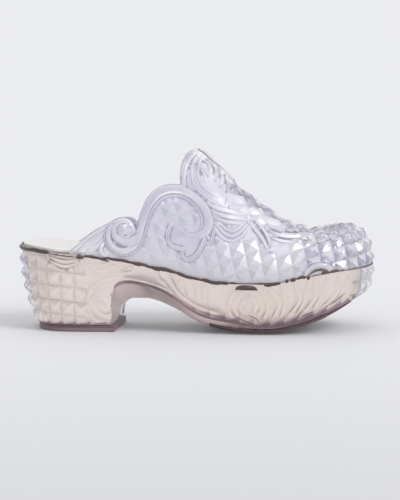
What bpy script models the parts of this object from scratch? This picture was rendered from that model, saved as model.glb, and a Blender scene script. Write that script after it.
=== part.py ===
"""Platform clog: a moulded see-through mule with a studded upper, scrolled edges and a block heel.

Right shoe. +X runs to the toe, -Y is the outer side, +Z is up, the floor is z = 0.
Every size and table is in millimetres; meshes are written in metres.
"""
import math

import bmesh
import bpy
import numpy as np
from mathutils import Vector
from mathutils.geometry import delaunay_2d_cdt

MM = 0.001
OUTER, INNER = -1, 1

# Driving sizes
BACK_X = -126.3
TOE_X = 126.3
HEEL_ROUND, HEEL_SQUARE = 38.0, 2.2
TOE_ROUND, TOE_SQUARE = 54.0, 2.3
WALL = 2.6
GAP = 0.3
RIM_INSET = 0.6
INSOLE_PLAY = 0.35
INSOLE_HEEL_INSET, INSOLE_SEAT_X, INSOLE_SEAT_RUN = 1.0, -101.0, 8.0
STUD = 10.2
UPPER_STUD_HEIGHT = 2.3
HEEL_STUD_HEIGHT = 2.9
TOE_STUD_HEIGHT = 2.2
INSOLE_THICKNESS = 2.6
LIFT_THICKNESS = 4.7
LIFT_FRONT = -58.0
LIFT_INSET = 0.7
OUTSOLE_THICKNESS = 2.3
OUTSOLE_BACK, OUTSOLE_FRONT = 9.0, 114.0
HEEL_RIM_LIP, HEEL_RIM_LIP_RUN = 1.8, 12.0

# The inner side: how far its collar drops and over what run, and how its heel breast leans forward
INNER_COLLAR_DROP, COLLAR_DROP_RUN, COLLAR_DROP_RISE = 5.0, 14.0, 28.0
INNER_BREAST_SKEW, BREAST_SKEW_REACH, BREAST_SKEW_TURN, BREAST_SKEW_POWER = 7.0, 42.0, 0.85, 1.3

# Spine of the upper: where the stations start to fan round the toe, and the end of the fan
FAN_X = 60.0
SPINE_END_X = 104.0
PEAK_X = -0.5

# Stud lattices: how the upper's rows spread and rise toward the toe, where its studs begin behind, and
# where the fan round the toe is too narrow for them; then column, row and span on the sole's two ends
LATTICE_SPREAD, LATTICE_RISE = 0.002, 0.0015
STUDS_BACK_X, STUDS_BACK_RUN = -52.0, 8.0
FAN_STUDS_TOP, FAN_STUDS_SLOPE, FAN_STUDS_FULL = 46.0, 0.6, 0.7
HEEL_COLUMN, HEEL_ROW, HEEL_LIP, HEEL_STUD_SPAN = 9.8, 10.2, 3.4, 68.6
TOE_COLUMN, TOE_ROW, TOE_STUD_SPAN = 9.6, 9.4, 38.4
UPPER_COLUMNS, UPPER_ROWS, HEEL_ROWS, TOE_ROWS = 27, 24, 5, 2

# Mesh steps: points along each run, spacing of lines, and least distances between lines
WALK_STEPS, STATION_STEPS, SPINE_STEPS = 1201, 65, 600
UPPER_RIM_STEPS, UPPER_TOE_STEPS = 56, 7
SOLE_RIM_STEPS, SOLE_TOE_STEPS, SOLE_BACK_STEPS = 66, 3, 10
INSOLE_STEPS, LIFT_STEPS = 56, 22
COLLAR_STEP, UPPER_BAND_STEP, SOLE_BAND_STEP, BOTTOM_STEP = 3.0, 3.2, 4.0, 5.0
SPINE_LEAST, BREAST_LEAST = 2.4, 1.6
BAND_CLEAR, UPPER_STUD_CLEAR, SOLE_STUD_CLEAR, LINING_CLEAR = 0.8, 1.6, 0.8, 3.0
STUD_BAND_SHARE, RIDGE_BAND_SHARE, BAND_EDGE_SHARE = 1.15, 1.05, 1.02
UPPER_BAND_LINES = (-1.0, -0.62, 0.0, 0.62, 1.0)
SOLE_BAND_LINES = (-1.0, 0.0, 1.0)
BELLY_SHARES = (-0.86, -0.6, -0.3, 0.0, 0.3, 0.6, 0.86)
INSOLE_SHARES = (0.0, 0.25, 0.5, 0.75, 1.0)
LINING_FIRST, LINING_COLUMN = 7.0, 9.0
LINING_ROWS = (4.0, 9.0, 16.0, 25.0, 36.0, 48.0, 60.0, 72.0, 84.0, 96.0, 108.0)
TANGENT_STEP, TIP_RUN, SETTLE_ROUNDS = 0.4, 6.0, 12

# Plain display materials: base colour, roughness, transmission
MATERIALS = {
    "upper": ((0.80, 0.79, 0.86), 0.08, 0.9),
    "sole": ((0.78, 0.66, 0.63), 0.08, 0.9),
    "insole": ((0.86, 0.82, 0.76), 0.7, 0.0),
    "outsole": ((0.16, 0.11, 0.11), 0.5, 0.0),
    "heel_lift": ((0.16, 0.11, 0.11), 0.5, 0.0),
}

# One row a section: half widths outer and inner, axis, rim and spine heights, roundness, wall lean
SHAPE_COLUMNS = ("x", "outer", "inner", "axis", "rim", "spine", "round", "lean")
SHAPE = (
    (-126.3, 33.0, 33.0, 0.0, 58.8, 150.0, 2.20, 13.5),
    (-100.0, 33.5, 33.0, 0.0, 57.3, 150.0, 2.20, 7.0),
    (-70.0, 33.2, 31.8, 0.0, 54.0, 149.0, 2.20, 5.5),
    (-40.0, 33.5, 29.8, 0.0, 49.6, 146.0, 2.10, 5.0),
    (-15.0, 36.3, 30.5, 0.0, 43.8, 138.5, 2.00, 5.0),
    (0.0, 39.0, 32.5, 0.0, 40.1, 129.4, 2.00, 5.0),
    (15.0, 42.3, 36.0, 0.2, 37.7, 117.2, 2.00, 5.0),
    (30.0, 45.2, 40.3, 0.5, 36.8, 101.3, 2.00, 5.0),
    (45.0, 47.2, 43.8, 1.0, 36.8, 89.7, 2.10, 5.0),
    (60.0, 48.0, 45.5, 1.5, 38.3, 78.9, 2.20, 5.0),
    (72.0, 47.8, 46.0, 2.1, 40.6, 73.0, 2.35, 5.5),
    (82.0, 47.0, 46.0, 2.6, 42.4, 71.0, 2.45, 6.5),
    (93.0, 46.0, 45.5, 3.1, 44.2, 72.6, 2.50, 9.0),
    (104.0, 44.5, 44.5, 3.7, 45.5, 75.3, 2.60, 12.0),
    (126.3, 42.0, 42.0, 5.0, 46.8, 75.3, 2.60, 22.0),
)

# One row a section of the underside: side edge, keel on the centre line, and squareness of the belly;
# the rows of the heel's breast are BREAST_ROWS
BELLY_COLUMNS = ("x", "edge", "keel", "square")
BELLY = (
    (-127.0, 5.0, 5.0, 2.0),
    (-57.8, 5.0, 5.0, 2.0),
    (-57.4, 17.0, 8.5, 2.0),
    (-56.4, 28.0, 12.5, 2.0),
    (-54.2, 32.8, 16.0, 2.0),
    (-50.6, 34.8, 19.0, 2.1),
    (-46.0, 35.4, 21.5, 2.2),
    (-36.0, 33.8, 21.5, 2.2),
    (-27.0, 31.3, 19.5, 2.3),
    (-12.0, 22.8, 13.0, 2.6),
    (-3.0, 16.5, 7.8, 3.0),
    (8.0, 11.8, 3.8, 3.5),
    (22.0, 9.2, 2.6, 4.5),
    (50.0, 5.6, 2.6, 6.0),
    (58.0, 6.2, 3.2, 6.0),
    (70.0, 8.6, 5.4, 5.0),
    (84.0, 12.6, 9.4, 4.0),
    (94.0, 16.0, 13.0, 3.5),
    (104.0, 20.0, 17.2, 3.0),
    (113.0, 24.2, 21.8, 2.5),
    (127.0, 30.0, 29.0, 2.0),
)

BREAST_ROWS = BELLY[1:7]

# Top edge of the upper from the leaf tip to the tongue's peak, side view x and z
COLLAR = (
    (-89.5, 57.2), (-83.5, 61.6), (-77.0, 67.6), (-69.0, 73.2), (-60.0, 78.2), (-55.5, 80.8),
    (-51.2, 81.6), (-47.2, 80.2), (-44.2, 76.4), (-42.4, 72.6), (-40.6, 77.5), (-37.2, 88.0),
    (-33.2, 96.4), (-27.2, 102.2), (-21.3, 104.8), (-16.0, 105.4), (-10.8, 105.3), (-10.2, 112.5),
    (-9.0, 119.5), (-5.8, 125.6), (-2.8, 128.5),
)

# Scroll bands on the upper: half width at start and end, height, side view x and z
UPPER_BANDS = (
    ("scroll", 3.2, 4.4, 3.0, (
        (-45.2, 73.8), (-47.0, 77.4), (-51.5, 78.6), (-57.0, 76.6), (-59.8, 71.0), (-57.4, 64.3),
        (-51.0, 60.5), (-44.2, 63.0), (-39.2, 71.0), (-36.2, 80.0), (-33.0, 89.0), (-28.7, 95.6),
        (-21.7, 100.2), (-14.6, 101.2), (-7.5, 99.6), (-0.3, 95.0), (5.6, 89.0), (9.0, 83.0),
        (9.2, 76.8), (5.8, 71.8), (0.1, 69.2), (-6.2, 70.2), (-10.6, 74.0))),
    ("drop leaf", 4.2, 1.2, 2.0, ((-1.5, 68.0), (-4.0, 61.5), (-6.0, 54.5))),
    ("tail leaf", 3.4, 1.4, 1.8, ((-61.0, 73.0), (-68.0, 69.0), (-76.0, 64.0), (-85.0, 59.0))),
    ("tongue edge", 3.0, 2.6, 1.6, ((-8.2, 105.5), (-8.0, 113.0), (-6.8, 120.0), (-4.2, 124.6), (-1.2, 126.8))),
    ("tongue fold", 2.6, 2.0, 1.5, ((-2.4, 119.5), (-2.8, 112.0), (-0.8, 103.5), (5.0, 96.5), (13.0, 92.0),
                                    (21.0, 89.0), (29.0, 86.0))),
)

# Scroll bands on the sole's side, the same columns
SOLE_BANDS = (
    ("heel volute", 2.0, 2.6, 1.6, (
        (-66.0, 18.5), (-68.0, 21.5), (-65.5, 25.0), (-60.5, 24.0), (-59.5, 17.0), (-65.0, 11.0),
        (-73.0, 14.0), (-76.5, 23.0), (-72.0, 33.0), (-62.0, 39.0), (-50.0, 40.3), (-38.0, 38.6),
        (-28.0, 35.3), (-21.0, 31.5))),
    ("waist scroll", 1.8, 2.6, 1.6, (
        (-20.0, 41.0), (-15.0, 33.0), (-8.0, 25.0), (2.0, 19.0), (14.0, 15.5), (25.0, 16.5), (31.5, 23.0),
        (29.5, 30.0), (23.0, 31.0), (20.5, 26.0))),
    ("forefoot scroll", 2.4, 1.8, 1.6, (
        (38.0, 11.5), (52.0, 12.0), (63.5, 17.5), (68.5, 26.0), (64.0, 33.5), (55.5, 33.0), (53.0, 26.0),
        (57.5, 22.0))),
)


def smooth(rows, columns, name):
    """A function of x through one column of a table, with no overshoot between rows."""
    xs = np.array([row[0] for row in rows])
    ys = np.array([row[columns.index(name)] for row in rows])
    chord = np.diff(ys) / np.diff(xs)
    before, after = chord[:-1], chord[1:]
    with np.errstate(divide="ignore", invalid="ignore"):
        mean = np.where(before * after > 0, 2 * before * after / (before + after), 0.0)
    slope = np.concatenate(([chord[0]], mean, [chord[-1]]))

    def value(x):
        x = np.clip(x, xs[0], xs[-1])
        i = np.clip(np.searchsorted(xs, x) - 1, 0, len(xs) - 2)
        h = xs[i + 1] - xs[i]
        t = (x - xs[i]) / h
        left = ys[i] * (1 + 2 * t) * (1 - t) ** 2 + slope[i] * h * t * (1 - t) ** 2
        right = ys[i + 1] * t ** 2 * (3 - 2 * t) + slope[i + 1] * h * t ** 2 * (t - 1)
        return left + right

    return value


SHAPE_AT = {name: smooth(SHAPE, SHAPE_COLUMNS, name) for name in SHAPE_COLUMNS[1:]}
BELLY_AT = {name: smooth(BELLY, BELLY_COLUMNS, name) for name in BELLY_COLUMNS[1:]}


# Plan outline at the rim, walked from the toe back to the heel

def end_caps(x):
    back = np.clip(1 - (x - BACK_X) / HEEL_ROUND, 0, 1)
    front = np.clip(1 - (TOE_X - x) / TOE_ROUND, 0, 1)
    heel = (1 - back ** HEEL_SQUARE) ** (1 / HEEL_SQUARE)
    return heel * (1 - front ** TOE_SQUARE) ** (1 / TOE_SQUARE)


def rim_y(x, side):
    width = np.where(side == OUTER, SHAPE_AT["outer"](x), SHAPE_AT["inner"](x))
    return SHAPE_AT["axis"](x) + side * width * end_caps(x)


TURN = np.linspace(0, math.pi, WALK_STEPS)
WALK_X = (TOE_X + BACK_X) / 2 + (TOE_X - BACK_X) / 2 * np.cos(TURN)


def walk_length(side):
    step = np.hypot(np.diff(WALK_X), np.diff(rim_y(WALK_X, side)))
    return np.concatenate(([0.0], np.cumsum(step)))


WALK_S = (walk_length(OUTER) + walk_length(INNER)) / 2
RIM_LENGTH = WALK_S[-1]


def rim_x(s):
    turn = np.interp(s, WALK_S, TURN)
    return (TOE_X + BACK_X) / 2 + (TOE_X - BACK_X) / 2 * np.cos(turn)


def walk_to(x):
    return np.interp(-np.asarray(x, float), -WALK_X, WALK_S)


def rim_frame(s, side):
    """Rim points and the unit plan normals that point out of the shoe."""
    x = rim_x(s)
    ahead = rim_x(np.clip(s - TANGENT_STEP, 0, None))
    behind = rim_x(np.clip(s + TANGENT_STEP, None, RIM_LENGTH))
    tangent = np.stack((ahead - behind, rim_y(ahead, side) - rim_y(behind, side)), axis=1)
    tangent /= np.linalg.norm(tangent, axis=1, keepdims=True)
    normal = -side * np.stack((tangent[:, 1], -tangent[:, 0]), axis=1)
    tip = np.clip(np.minimum(s, RIM_LENGTH - s) / TIP_RUN, 0, 1)[:, None]
    end = np.stack((np.where(s < RIM_LENGTH / 2, 1.0, -1.0), np.zeros_like(s)), axis=1)
    normal = end * (1 - tip) + normal * tip
    normal /= np.linalg.norm(normal, axis=1, keepdims=True)
    return np.stack((x, rim_y(x, side)), axis=1), normal


# The upper: a station at every place along the rim, rising from the rim to the spine

THETA = (1 - np.cos(np.linspace(0, math.pi, STATION_STEPS))) * math.pi / 4


def spine_x(s):
    x = rim_x(s)
    ahead = np.clip((x - FAN_X) / (TOE_X - FAN_X), 0, 1)
    return x - (TOE_X - SPINE_END_X) * ahead ** 2


def stations(s, side):
    rim, normal = rim_frame(s, side)
    rim = rim - normal * RIM_INSET
    x, over = rim_x(s), spine_x(s)
    spine = np.stack((over, SHAPE_AT["axis"](over)), axis=1)
    low, high = SHAPE_AT["rim"](x) + GAP, SHAPE_AT["spine"](over)
    power = 2 / SHAPE_AT["round"](x)[:, None]
    across, rise = 1 - np.cos(THETA) ** power, np.sin(THETA) ** power
    reach = np.linalg.norm(spine - rim, axis=1)[:, None]
    length = np.hypot(np.diff(across) * reach, np.diff(rise) * (high - low)[:, None])
    length = np.concatenate((np.zeros((len(s), 1)), np.cumsum(length, axis=1)), axis=1)
    return rim, spine, low, high, across, rise, length


def girth(s):
    """Mean length of the two stations at s, from the rim to the spine."""
    s = np.atleast_1d(np.asarray(s, float))
    return (stations(s, OUTER)[-1][:, -1] + stations(s, INNER)[-1][:, -1]) / 2


def upper_point(s, v, side):
    """Points of the upper's base surface at walk s and share v of the way up the station."""
    rim, spine, low, high, across, rise, length = stations(s, side)
    if side == INNER:
        behind = np.clip((PEAK_X - rim_x(s)) / COLLAR_DROP_RUN, 0, 1)
        above = np.clip(v * length[:, -1] / COLLAR_DROP_RISE, 0, 1)
        v = v - INNER_COLLAR_DROP / length[:, -1] * behind * above
    a, r = np.empty(len(s)), np.empty(len(s))
    for i in range(len(s)):
        share = length[i] / length[i, -1]
        a[i] = np.interp(v[i], share, across[i])
        r[i] = np.interp(v[i], share, rise[i])
    plan = rim + (spine - rim) * a[:, None]
    return np.column_stack((plan, low + (high - low) * r))


def upper_spot(x, z):
    """Walk s and height q on the upper of a side view place."""
    s = walk_to(np.atleast_1d(np.asarray(x, float)))
    rim, spine, low, high, across, rise, length = stations(s, OUTER)
    share = np.clip((np.atleast_1d(z) - low) / (high - low), 0, 1)
    v = [np.interp(share[i], rise[i], length[i] / length[i, -1]) for i in range(len(s))]
    return np.column_stack((s, np.array(v) * girth(s)))


def normals(point, s, v, side):
    ds, dv = 0.3, 0.004
    along = point(np.clip(s + ds, 0, RIM_LENGTH), v, side) - point(np.clip(s - ds, 0, RIM_LENGTH), v, side)
    up = point(s, np.clip(v + dv, 0, 1), side) - point(s, np.clip(v - dv, 0, 1), side)
    n = np.cross(along, up) * side
    return n / np.linalg.norm(n, axis=1, keepdims=True), np.linalg.norm(along, axis=1) / (2 * ds)


# The sole's side: rim down to the belly's edge, leaning in as it goes down

def sole_point(s, q, side):
    rim, normal = rim_frame(s, side)
    top = SHAPE_AT["rim"](rim_x(s))
    lean = SHAPE_AT["lean"](rim_x(s)) * (q / top) ** 2
    plan = rim - normal * lean[:, None]
    if side == INNER:
        skew = np.clip(1 - ((rim_x(s) - LIFT_FRONT) / BREAST_SKEW_REACH) ** 2, 0, 1) ** 2
        turn = BREAST_SKEW_TURN * math.pi * np.clip(q / top, 0, 1) ** BREAST_SKEW_POWER
        plan[:, 0] += INNER_BREAST_SKEW * skew * np.sin(turn)
    return np.column_stack((plan, top - q))


def sole_depth(s):
    """Depth of the sole's side at s, where the wall meets the belly's edge."""
    x = rim_x(s)
    top = SHAPE_AT["rim"](x)
    q = top - BELLY_AT["edge"](x)
    for _ in range(SETTLE_ROUNDS):
        here = (sole_point(s, q, OUTER)[:, 0] + sole_point(s, q, INNER)[:, 0]) / 2
        q = 0.5 * q + 0.5 * (top - BELLY_AT["edge"](here))
    return q


def sole_spot(x, z):
    s = walk_to(np.atleast_1d(np.asarray(x, float)))
    return np.column_stack((s, SHAPE_AT["rim"](rim_x(s)) - np.atleast_1d(z)))


# Relief: studs on a lattice, and scroll bands along lines

def resample(points, step):
    """A smooth line through points, with points about step apart."""
    p = np.asarray(points, float)
    t = np.concatenate(([0.0], np.cumsum(np.linalg.norm(np.diff(p, axis=0), axis=1))))
    slope = np.gradient(p, t, axis=0)
    fine = np.linspace(0, t[-1], max(2, int(round(t[-1] / step)) + 1))
    i = np.clip(np.searchsorted(t, fine) - 1, 0, len(t) - 2)
    h = (t[i + 1] - t[i])[:, None]
    k = ((fine - t[i]) / h[:, 0])[:, None]
    left = p[i] * (1 + 2 * k) * (1 - k) ** 2 + slope[i] * h * k * (1 - k) ** 2
    right = p[i + 1] * k ** 2 * (3 - 2 * k) + slope[i + 1] * h * k ** 2 * (k - 1)
    return left + right


class Band:
    """A raised round band along a line of the unrolled wall."""

    def __init__(self, row, spot, step):
        name, start, end, self.height, places = row
        places = np.array(places)
        self.line = resample(spot(places[:, 0], places[:, 1]), step)
        self.half = np.linspace(start, end, len(self.line))

    def offset(self, share):
        d = np.gradient(self.line, axis=0)
        d /= np.linalg.norm(d, axis=1, keepdims=True)
        return self.line + np.column_stack((-d[:, 1], d[:, 0])) * (self.half * share)[:, None]

    def share(self, points):
        """Distance from the middle of the band, 1 at its edge."""
        best = np.full(len(points), 9.0)
        for a, b, half in zip(self.line[:-1], self.line[1:], self.half):
            d = b - a
            t = np.clip((points - a) @ d / (d @ d), 0, 1)
            away = np.linalg.norm(points - a - t[:, None] * d, axis=1)
            best = np.minimum(best, away / half)
        return best


def inside(ring, points):
    hit = np.zeros(len(points), bool)
    for a, b in zip(ring, np.roll(ring, -1, axis=0)):
        crosses = (a[1] > points[:, 1]) != (b[1] > points[:, 1])
        if crosses.any():
            at = a[0] + (points[:, 1] - a[1]) / (b[1] - a[1] + 1e-30) * (b[0] - a[0])
            hit ^= crosses & (points[:, 0] < at)
    return hit


def clear_of(ring, points):
    """Distance of points from a closed ring."""
    best = np.full(len(points), 1e9)
    for a, b in zip(ring, np.roll(ring, -1, axis=0)):
        d = b - a
        t = np.clip((points - a) @ d / (d @ d + 1e-30), 0, 1)
        best = np.minimum(best, np.linalg.norm(points - a - t[:, None] * d, axis=1))
    return best


def triangulate(ring, lines):
    """Fill a ring with triangles that keep every edge of the lines; ring points come first."""
    points = [Vector(p) for p in ring]
    edges = [(i, (i + 1) % len(ring)) for i in range(len(ring))]
    for line_points, line_edges in lines:
        edges += [(a + len(points), b + len(points)) for a, b in line_edges]
        points += [Vector(p) for p in line_points]
    found, _, faces, _, _, _ = delaunay_2d_cdt(points, edges, [], 0, 1e-4)
    found = np.array([tuple(p) for p in found])
    faces = np.array(faces)
    return found, faces[inside(ring, found[faces].mean(axis=1))]


def lattice_lines(ring, bands, place, span_a, span_b, margin, fan=False):
    """Stud corners and tips of a lattice with their valleys and ridges, inside the ring and off the bands."""
    node, spots = {}, []
    for i in range(2 * span_a[0], 2 * span_a[1] + 1):
        for j in range(2 * span_b[0], 2 * span_b[1] + 1):
            if i % 2 == j % 2:
                node[i, j] = len(spots)
                spots.append((i / 2, j / 2))
    spots = place(np.array(spots))
    keep = inside(ring, spots) & (clear_of(ring, spots) > margin)
    if fan:
        keep &= spots[:, 1] < FAN_STUDS_TOP + FAN_STUDS_SLOPE * spots[:, 0]
    for band in bands:
        keep &= band.share(spots) > STUD_BAND_SHARE
    pairs = [(a, b) for a, b in node if a % 2 == 0]
    edges = [((a, b), (a + da, b + db)) for a, b in pairs for da, db in
             ((2, 0), (0, 2), (1, 1), (1, -1), (-1, 1), (-1, -1)) if (a + da, b + db) in node]
    edges = [(node[a], node[b]) for a, b in edges if keep[node[a]] and keep[node[b]]]
    if edges:
        ends = spots[np.array(edges)]
        free = np.ones(len(edges), bool)
        for band in bands:
            for k in (0.25, 0.5, 0.75):
                free &= band.share(ends[:, 0] * (1 - k) + ends[:, 1] * k) > RIDGE_BAND_SHARE
        edges = [e for e, ok in zip(edges, free) if ok]
    index = np.cumsum(keep) - 1
    return spots[keep], [(index[a], index[b]) for a, b in edges]


def band_lines(ring, bands, shares, margin):
    """The edge, flank and crest lines of every band that lie inside the ring."""
    lines = []
    for band in bands:
        for share in shares:
            line = band.offset(share)
            ok = inside(ring, line) & (clear_of(ring, line) > margin)
            index = np.cumsum(ok) - 1
            edges = [(index[i], index[i + 1]) for i in range(len(line) - 1) if ok[i] and ok[i + 1]]
            lines.append((line[ok], edges))
    return lines


def stud(a, b):
    """Height share of a square pyramid, 1 at the tip, 0 along the valleys."""
    return 1 - 2 * np.maximum(np.abs(a - np.floor(a) - 0.5), np.abs(b - np.floor(b) - 0.5))


def band_relief(points, bands):
    best = np.full(len(points), -1.0)
    for band in bands:
        share = band.share(points)
        rise = band.height * np.sqrt(np.clip(1 - share ** 2, 0, 1))
        best = np.where(share < BAND_EDGE_SHARE, np.maximum(best, rise), best)
    return best


# Stud lattices: rows rise toward the toe on the upper and run level on the sole

def upper_lattice(points):
    s, q = points[:, 0], points[:, 1]
    return (s - LATTICE_SPREAD * s * q) / STUD, (q + LATTICE_RISE * s ** 2) / STUD


def upper_lattice_place(nodes):
    a, b = nodes[:, 0] * STUD, nodes[:, 1] * STUD
    s, q = a.copy(), b.copy()
    for _ in range(5 * SETTLE_ROUNDS):
        q = b - LATTICE_RISE * s ** 2
        s = 0.5 * s + 0.5 * (a + LATTICE_SPREAD * s * q)
    return np.column_stack((s, q))


def heel_lattice(points):
    return (RIM_LENGTH - points[:, 0]) / HEEL_COLUMN, (points[:, 1] - HEEL_LIP) / HEEL_ROW


def heel_lattice_place(nodes):
    return np.column_stack((RIM_LENGTH - nodes[:, 0] * HEEL_COLUMN, nodes[:, 1] * HEEL_ROW + HEEL_LIP))


def toe_lattice(points):
    return points[:, 0] / TOE_COLUMN, points[:, 1] / TOE_ROW


def toe_lattice_place(nodes):
    return np.column_stack((nodes[:, 0] * TOE_COLUMN, nodes[:, 1] * TOE_ROW))


# Meshes

def closed_mesh(name, points, faces):
    mesh = bpy.data.meshes.new(name)
    mesh.from_pydata([tuple(p) for p in np.asarray(points) * MM], [], [tuple(int(i) for i in f) for f in faces])
    bm = bmesh.new()
    bm.from_mesh(mesh)
    bmesh.ops.remove_doubles(bm, verts=bm.verts, dist=2e-6)
    bmesh.ops.triangulate(bm, faces=[f for f in bm.faces if len(f.verts) > 4])
    bmesh.ops.recalc_face_normals(bm, faces=bm.faces)
    bm.to_mesh(mesh)
    bm.free()
    return mesh


def add_object(name, data, collection):
    color, roughness, transmission = MATERIALS[name]
    obj = bpy.data.objects.new(name, data)
    collection.objects.link(obj)
    material = bpy.data.materials.new(name)
    material.use_nodes = True
    shader = material.node_tree.nodes["Principled BSDF"]
    shader.inputs["Base Color"].default_value = (*color, 1.0)
    shader.inputs["Roughness"].default_value = roughness
    shader.inputs["Transmission Weight"].default_value = transmission
    obj.data.materials.append(material)
    return obj


def spine_run(peak_s):
    """Places along the spine from the toe's fan to the tongue, on the stud tips and valleys."""
    s = np.linspace(0, peak_s, SPINE_STEPS)
    last = SPINE_STEPS - 1
    h = stud(*upper_lattice(np.column_stack((s, girth(s)))))
    turn = [i for i in range(1, last) if (h[i] - h[i - 1]) * (h[i + 1] - h[i]) <= 0] + [last]
    run = [0]
    over = spine_x(s)
    for i in turn:
        if over[run[-1]] - over[i] > SPINE_LEAST:
            run.append(i)
    run[-1] = last
    return np.column_stack((s[run], girth(s[run])))


def upper_ring():
    """Outline of one half of the unrolled upper: rim, toe line, spine, collar."""
    collar = np.array(COLLAR)
    collar = resample(upper_spot(collar[:, 0], collar[:, 1]), COLLAR_STEP)
    tail_s, peak_s = collar[0, 0], walk_to(PEAK_X)
    rim = np.column_stack((np.linspace(tail_s, 0, UPPER_RIM_STEPS), np.zeros(UPPER_RIM_STEPS)))
    top = girth(np.array([0.0]))[0]
    toe = np.column_stack((np.zeros(UPPER_TOE_STEPS), np.linspace(0, top, UPPER_TOE_STEPS + 2)[1:-1]))
    spine = spine_run(peak_s)
    ring = np.concatenate((rim, toe, spine, collar[::-1]))
    toe_end = UPPER_RIM_STEPS + UPPER_TOE_STEPS
    peak = toe_end + len(spine) - 1
    runs = {"rim": range(0, UPPER_RIM_STEPS), "shared": range(UPPER_RIM_STEPS - 1, peak + 1),
            "edge": range(peak, len(ring))}
    return ring, runs


def upper_half(points, side):
    """Points and normals of a half of the upper, and how far its stations spread there."""
    s = points[:, 0]
    v = np.clip(points[:, 1] / girth(s), 0, 1)
    return (upper_point(s, v, side), *normals(upper_point, s, v, side))


def upper_mesh():
    ring, runs = upper_ring()
    bands = [Band(row, upper_spot, UPPER_BAND_STEP) for row in UPPER_BANDS]
    lines = band_lines(ring, bands, UPPER_BAND_LINES, BAND_CLEAR)
    spans = (0, UPPER_COLUMNS), (0, UPPER_ROWS)
    lines.append(lattice_lines(ring, bands, upper_lattice_place, *spans, UPPER_STUD_CLEAR, fan=True))
    outer_points, outer_faces = triangulate(ring, lines)
    columns = np.arange(LINING_FIRST, RIM_LENGTH, LINING_COLUMN)
    grid = np.stack(np.meshgrid(columns, LINING_ROWS), -1).reshape(-1, 2)
    grid = grid[inside(ring, grid) & (clear_of(ring, grid) > LINING_CLEAR)]
    inner_points, inner_faces = triangulate(ring, [(grid, [])])

    raised = band_relief(outer_points, bands)
    plain = stud(*upper_lattice(outer_points)) * UPPER_STUD_HEIGHT
    plain *= np.clip((rim_x(outer_points[:, 0]) - STUDS_BACK_X) / STUDS_BACK_RUN, 0, 1)
    plain *= np.clip(upper_half(outer_points, OUTER)[2] / FAN_STUDS_FULL, 0, 1)
    heights = np.where(raised >= 0, raised, plain)
    flat = list(runs["rim"]) + list(runs["edge"])
    heights[flat] = 0.0

    points, faces = [], []
    halves = {}
    for layer, (flat_points, offset) in {"out": (outer_points, heights), "in": (inner_points, -WALL)}.items():
        placed = {side: upper_half(flat_points, side) for side in (OUTER, INNER)}
        shared = list(runs["shared"])
        mean = placed[OUTER][1][shared] + placed[INNER][1][shared]
        mean /= np.linalg.norm(mean, axis=1, keepdims=True)
        for side in (OUTER, INNER):
            base, normal, _ = placed[side]
            normal[shared] = mean
            halves[layer, side] = base + normal * np.reshape(np.broadcast_to(offset, len(base)), (-1, 1))
    for side in (OUTER, INNER):
        start = len(points)
        points += list(halves["out", side]) + list(halves["in", side])
        inner_start = start + len(outer_points)
        faces += [tuple(start + i for i in f) for f in outer_faces]
        faces += [tuple(inner_start + i for i in f) for f in inner_faces]
        edge = list(runs["rim"]), list(runs["edge"]) + [0]
        for run in edge:
            faces += [(start + a, start + b, inner_start + b, inner_start + a) for a, b in zip(run[:-1], run[1:])]
    return closed_mesh("upper", points, faces)


def bottom_walk():
    """Places along the bottom edge, closer together up the heel's breast."""
    breast = walk_to(np.array([row[0] for row in BREAST_ROWS]))
    even = np.arange(0, RIM_LENGTH, BOTTOM_STEP)
    s = np.unique(np.round(np.concatenate((even, breast, [RIM_LENGTH])), 3))
    near = np.abs(s[:, None] - breast).min(axis=1)
    return s[(near < 1e-2) | (near > BREAST_LEAST)]


def sole_ring():
    """Outline of one half of the unrolled side of the sole: rim, toe line, bottom edge, back line."""
    rim = np.column_stack((np.linspace(RIM_LENGTH, 0, SOLE_RIM_STEPS), np.zeros(SOLE_RIM_STEPS)))
    bottom_s = bottom_walk()
    bottom = np.column_stack((bottom_s, sole_depth(bottom_s)))
    toe_q = np.linspace(0, bottom[0, 1], SOLE_TOE_STEPS + 2)[1:-1]
    back_q = np.linspace(bottom[-1, 1], 0, SOLE_BACK_STEPS + 2)[1:-1]
    toe = np.column_stack((np.zeros(SOLE_TOE_STEPS), toe_q))
    back = np.column_stack((np.full(SOLE_BACK_STEPS, RIM_LENGTH), back_q))
    ring = np.concatenate((rim, toe, bottom, back))
    toe_end = SOLE_RIM_STEPS + SOLE_TOE_STEPS
    runs = {"rim": range(0, SOLE_RIM_STEPS), "bottom": range(toe_end, toe_end + len(bottom))}
    return ring, runs


def belly_strip(left, right, x_left, x_right, shares):
    """Rows of points across the underside between two edges."""
    rows = []
    for k in shares:
        t = (k + 1) / 2
        p = left * (1 - t) + right * t
        x = x_left * (1 - t) + x_right * t
        edge, keel = p[:, 2], np.minimum(BELLY_AT["keel"](x), p[:, 2])
        p[:, 2] = keel + (edge - keel) * abs(k) ** BELLY_AT["square"](x)
        rows.append(p)
    return rows


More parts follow.
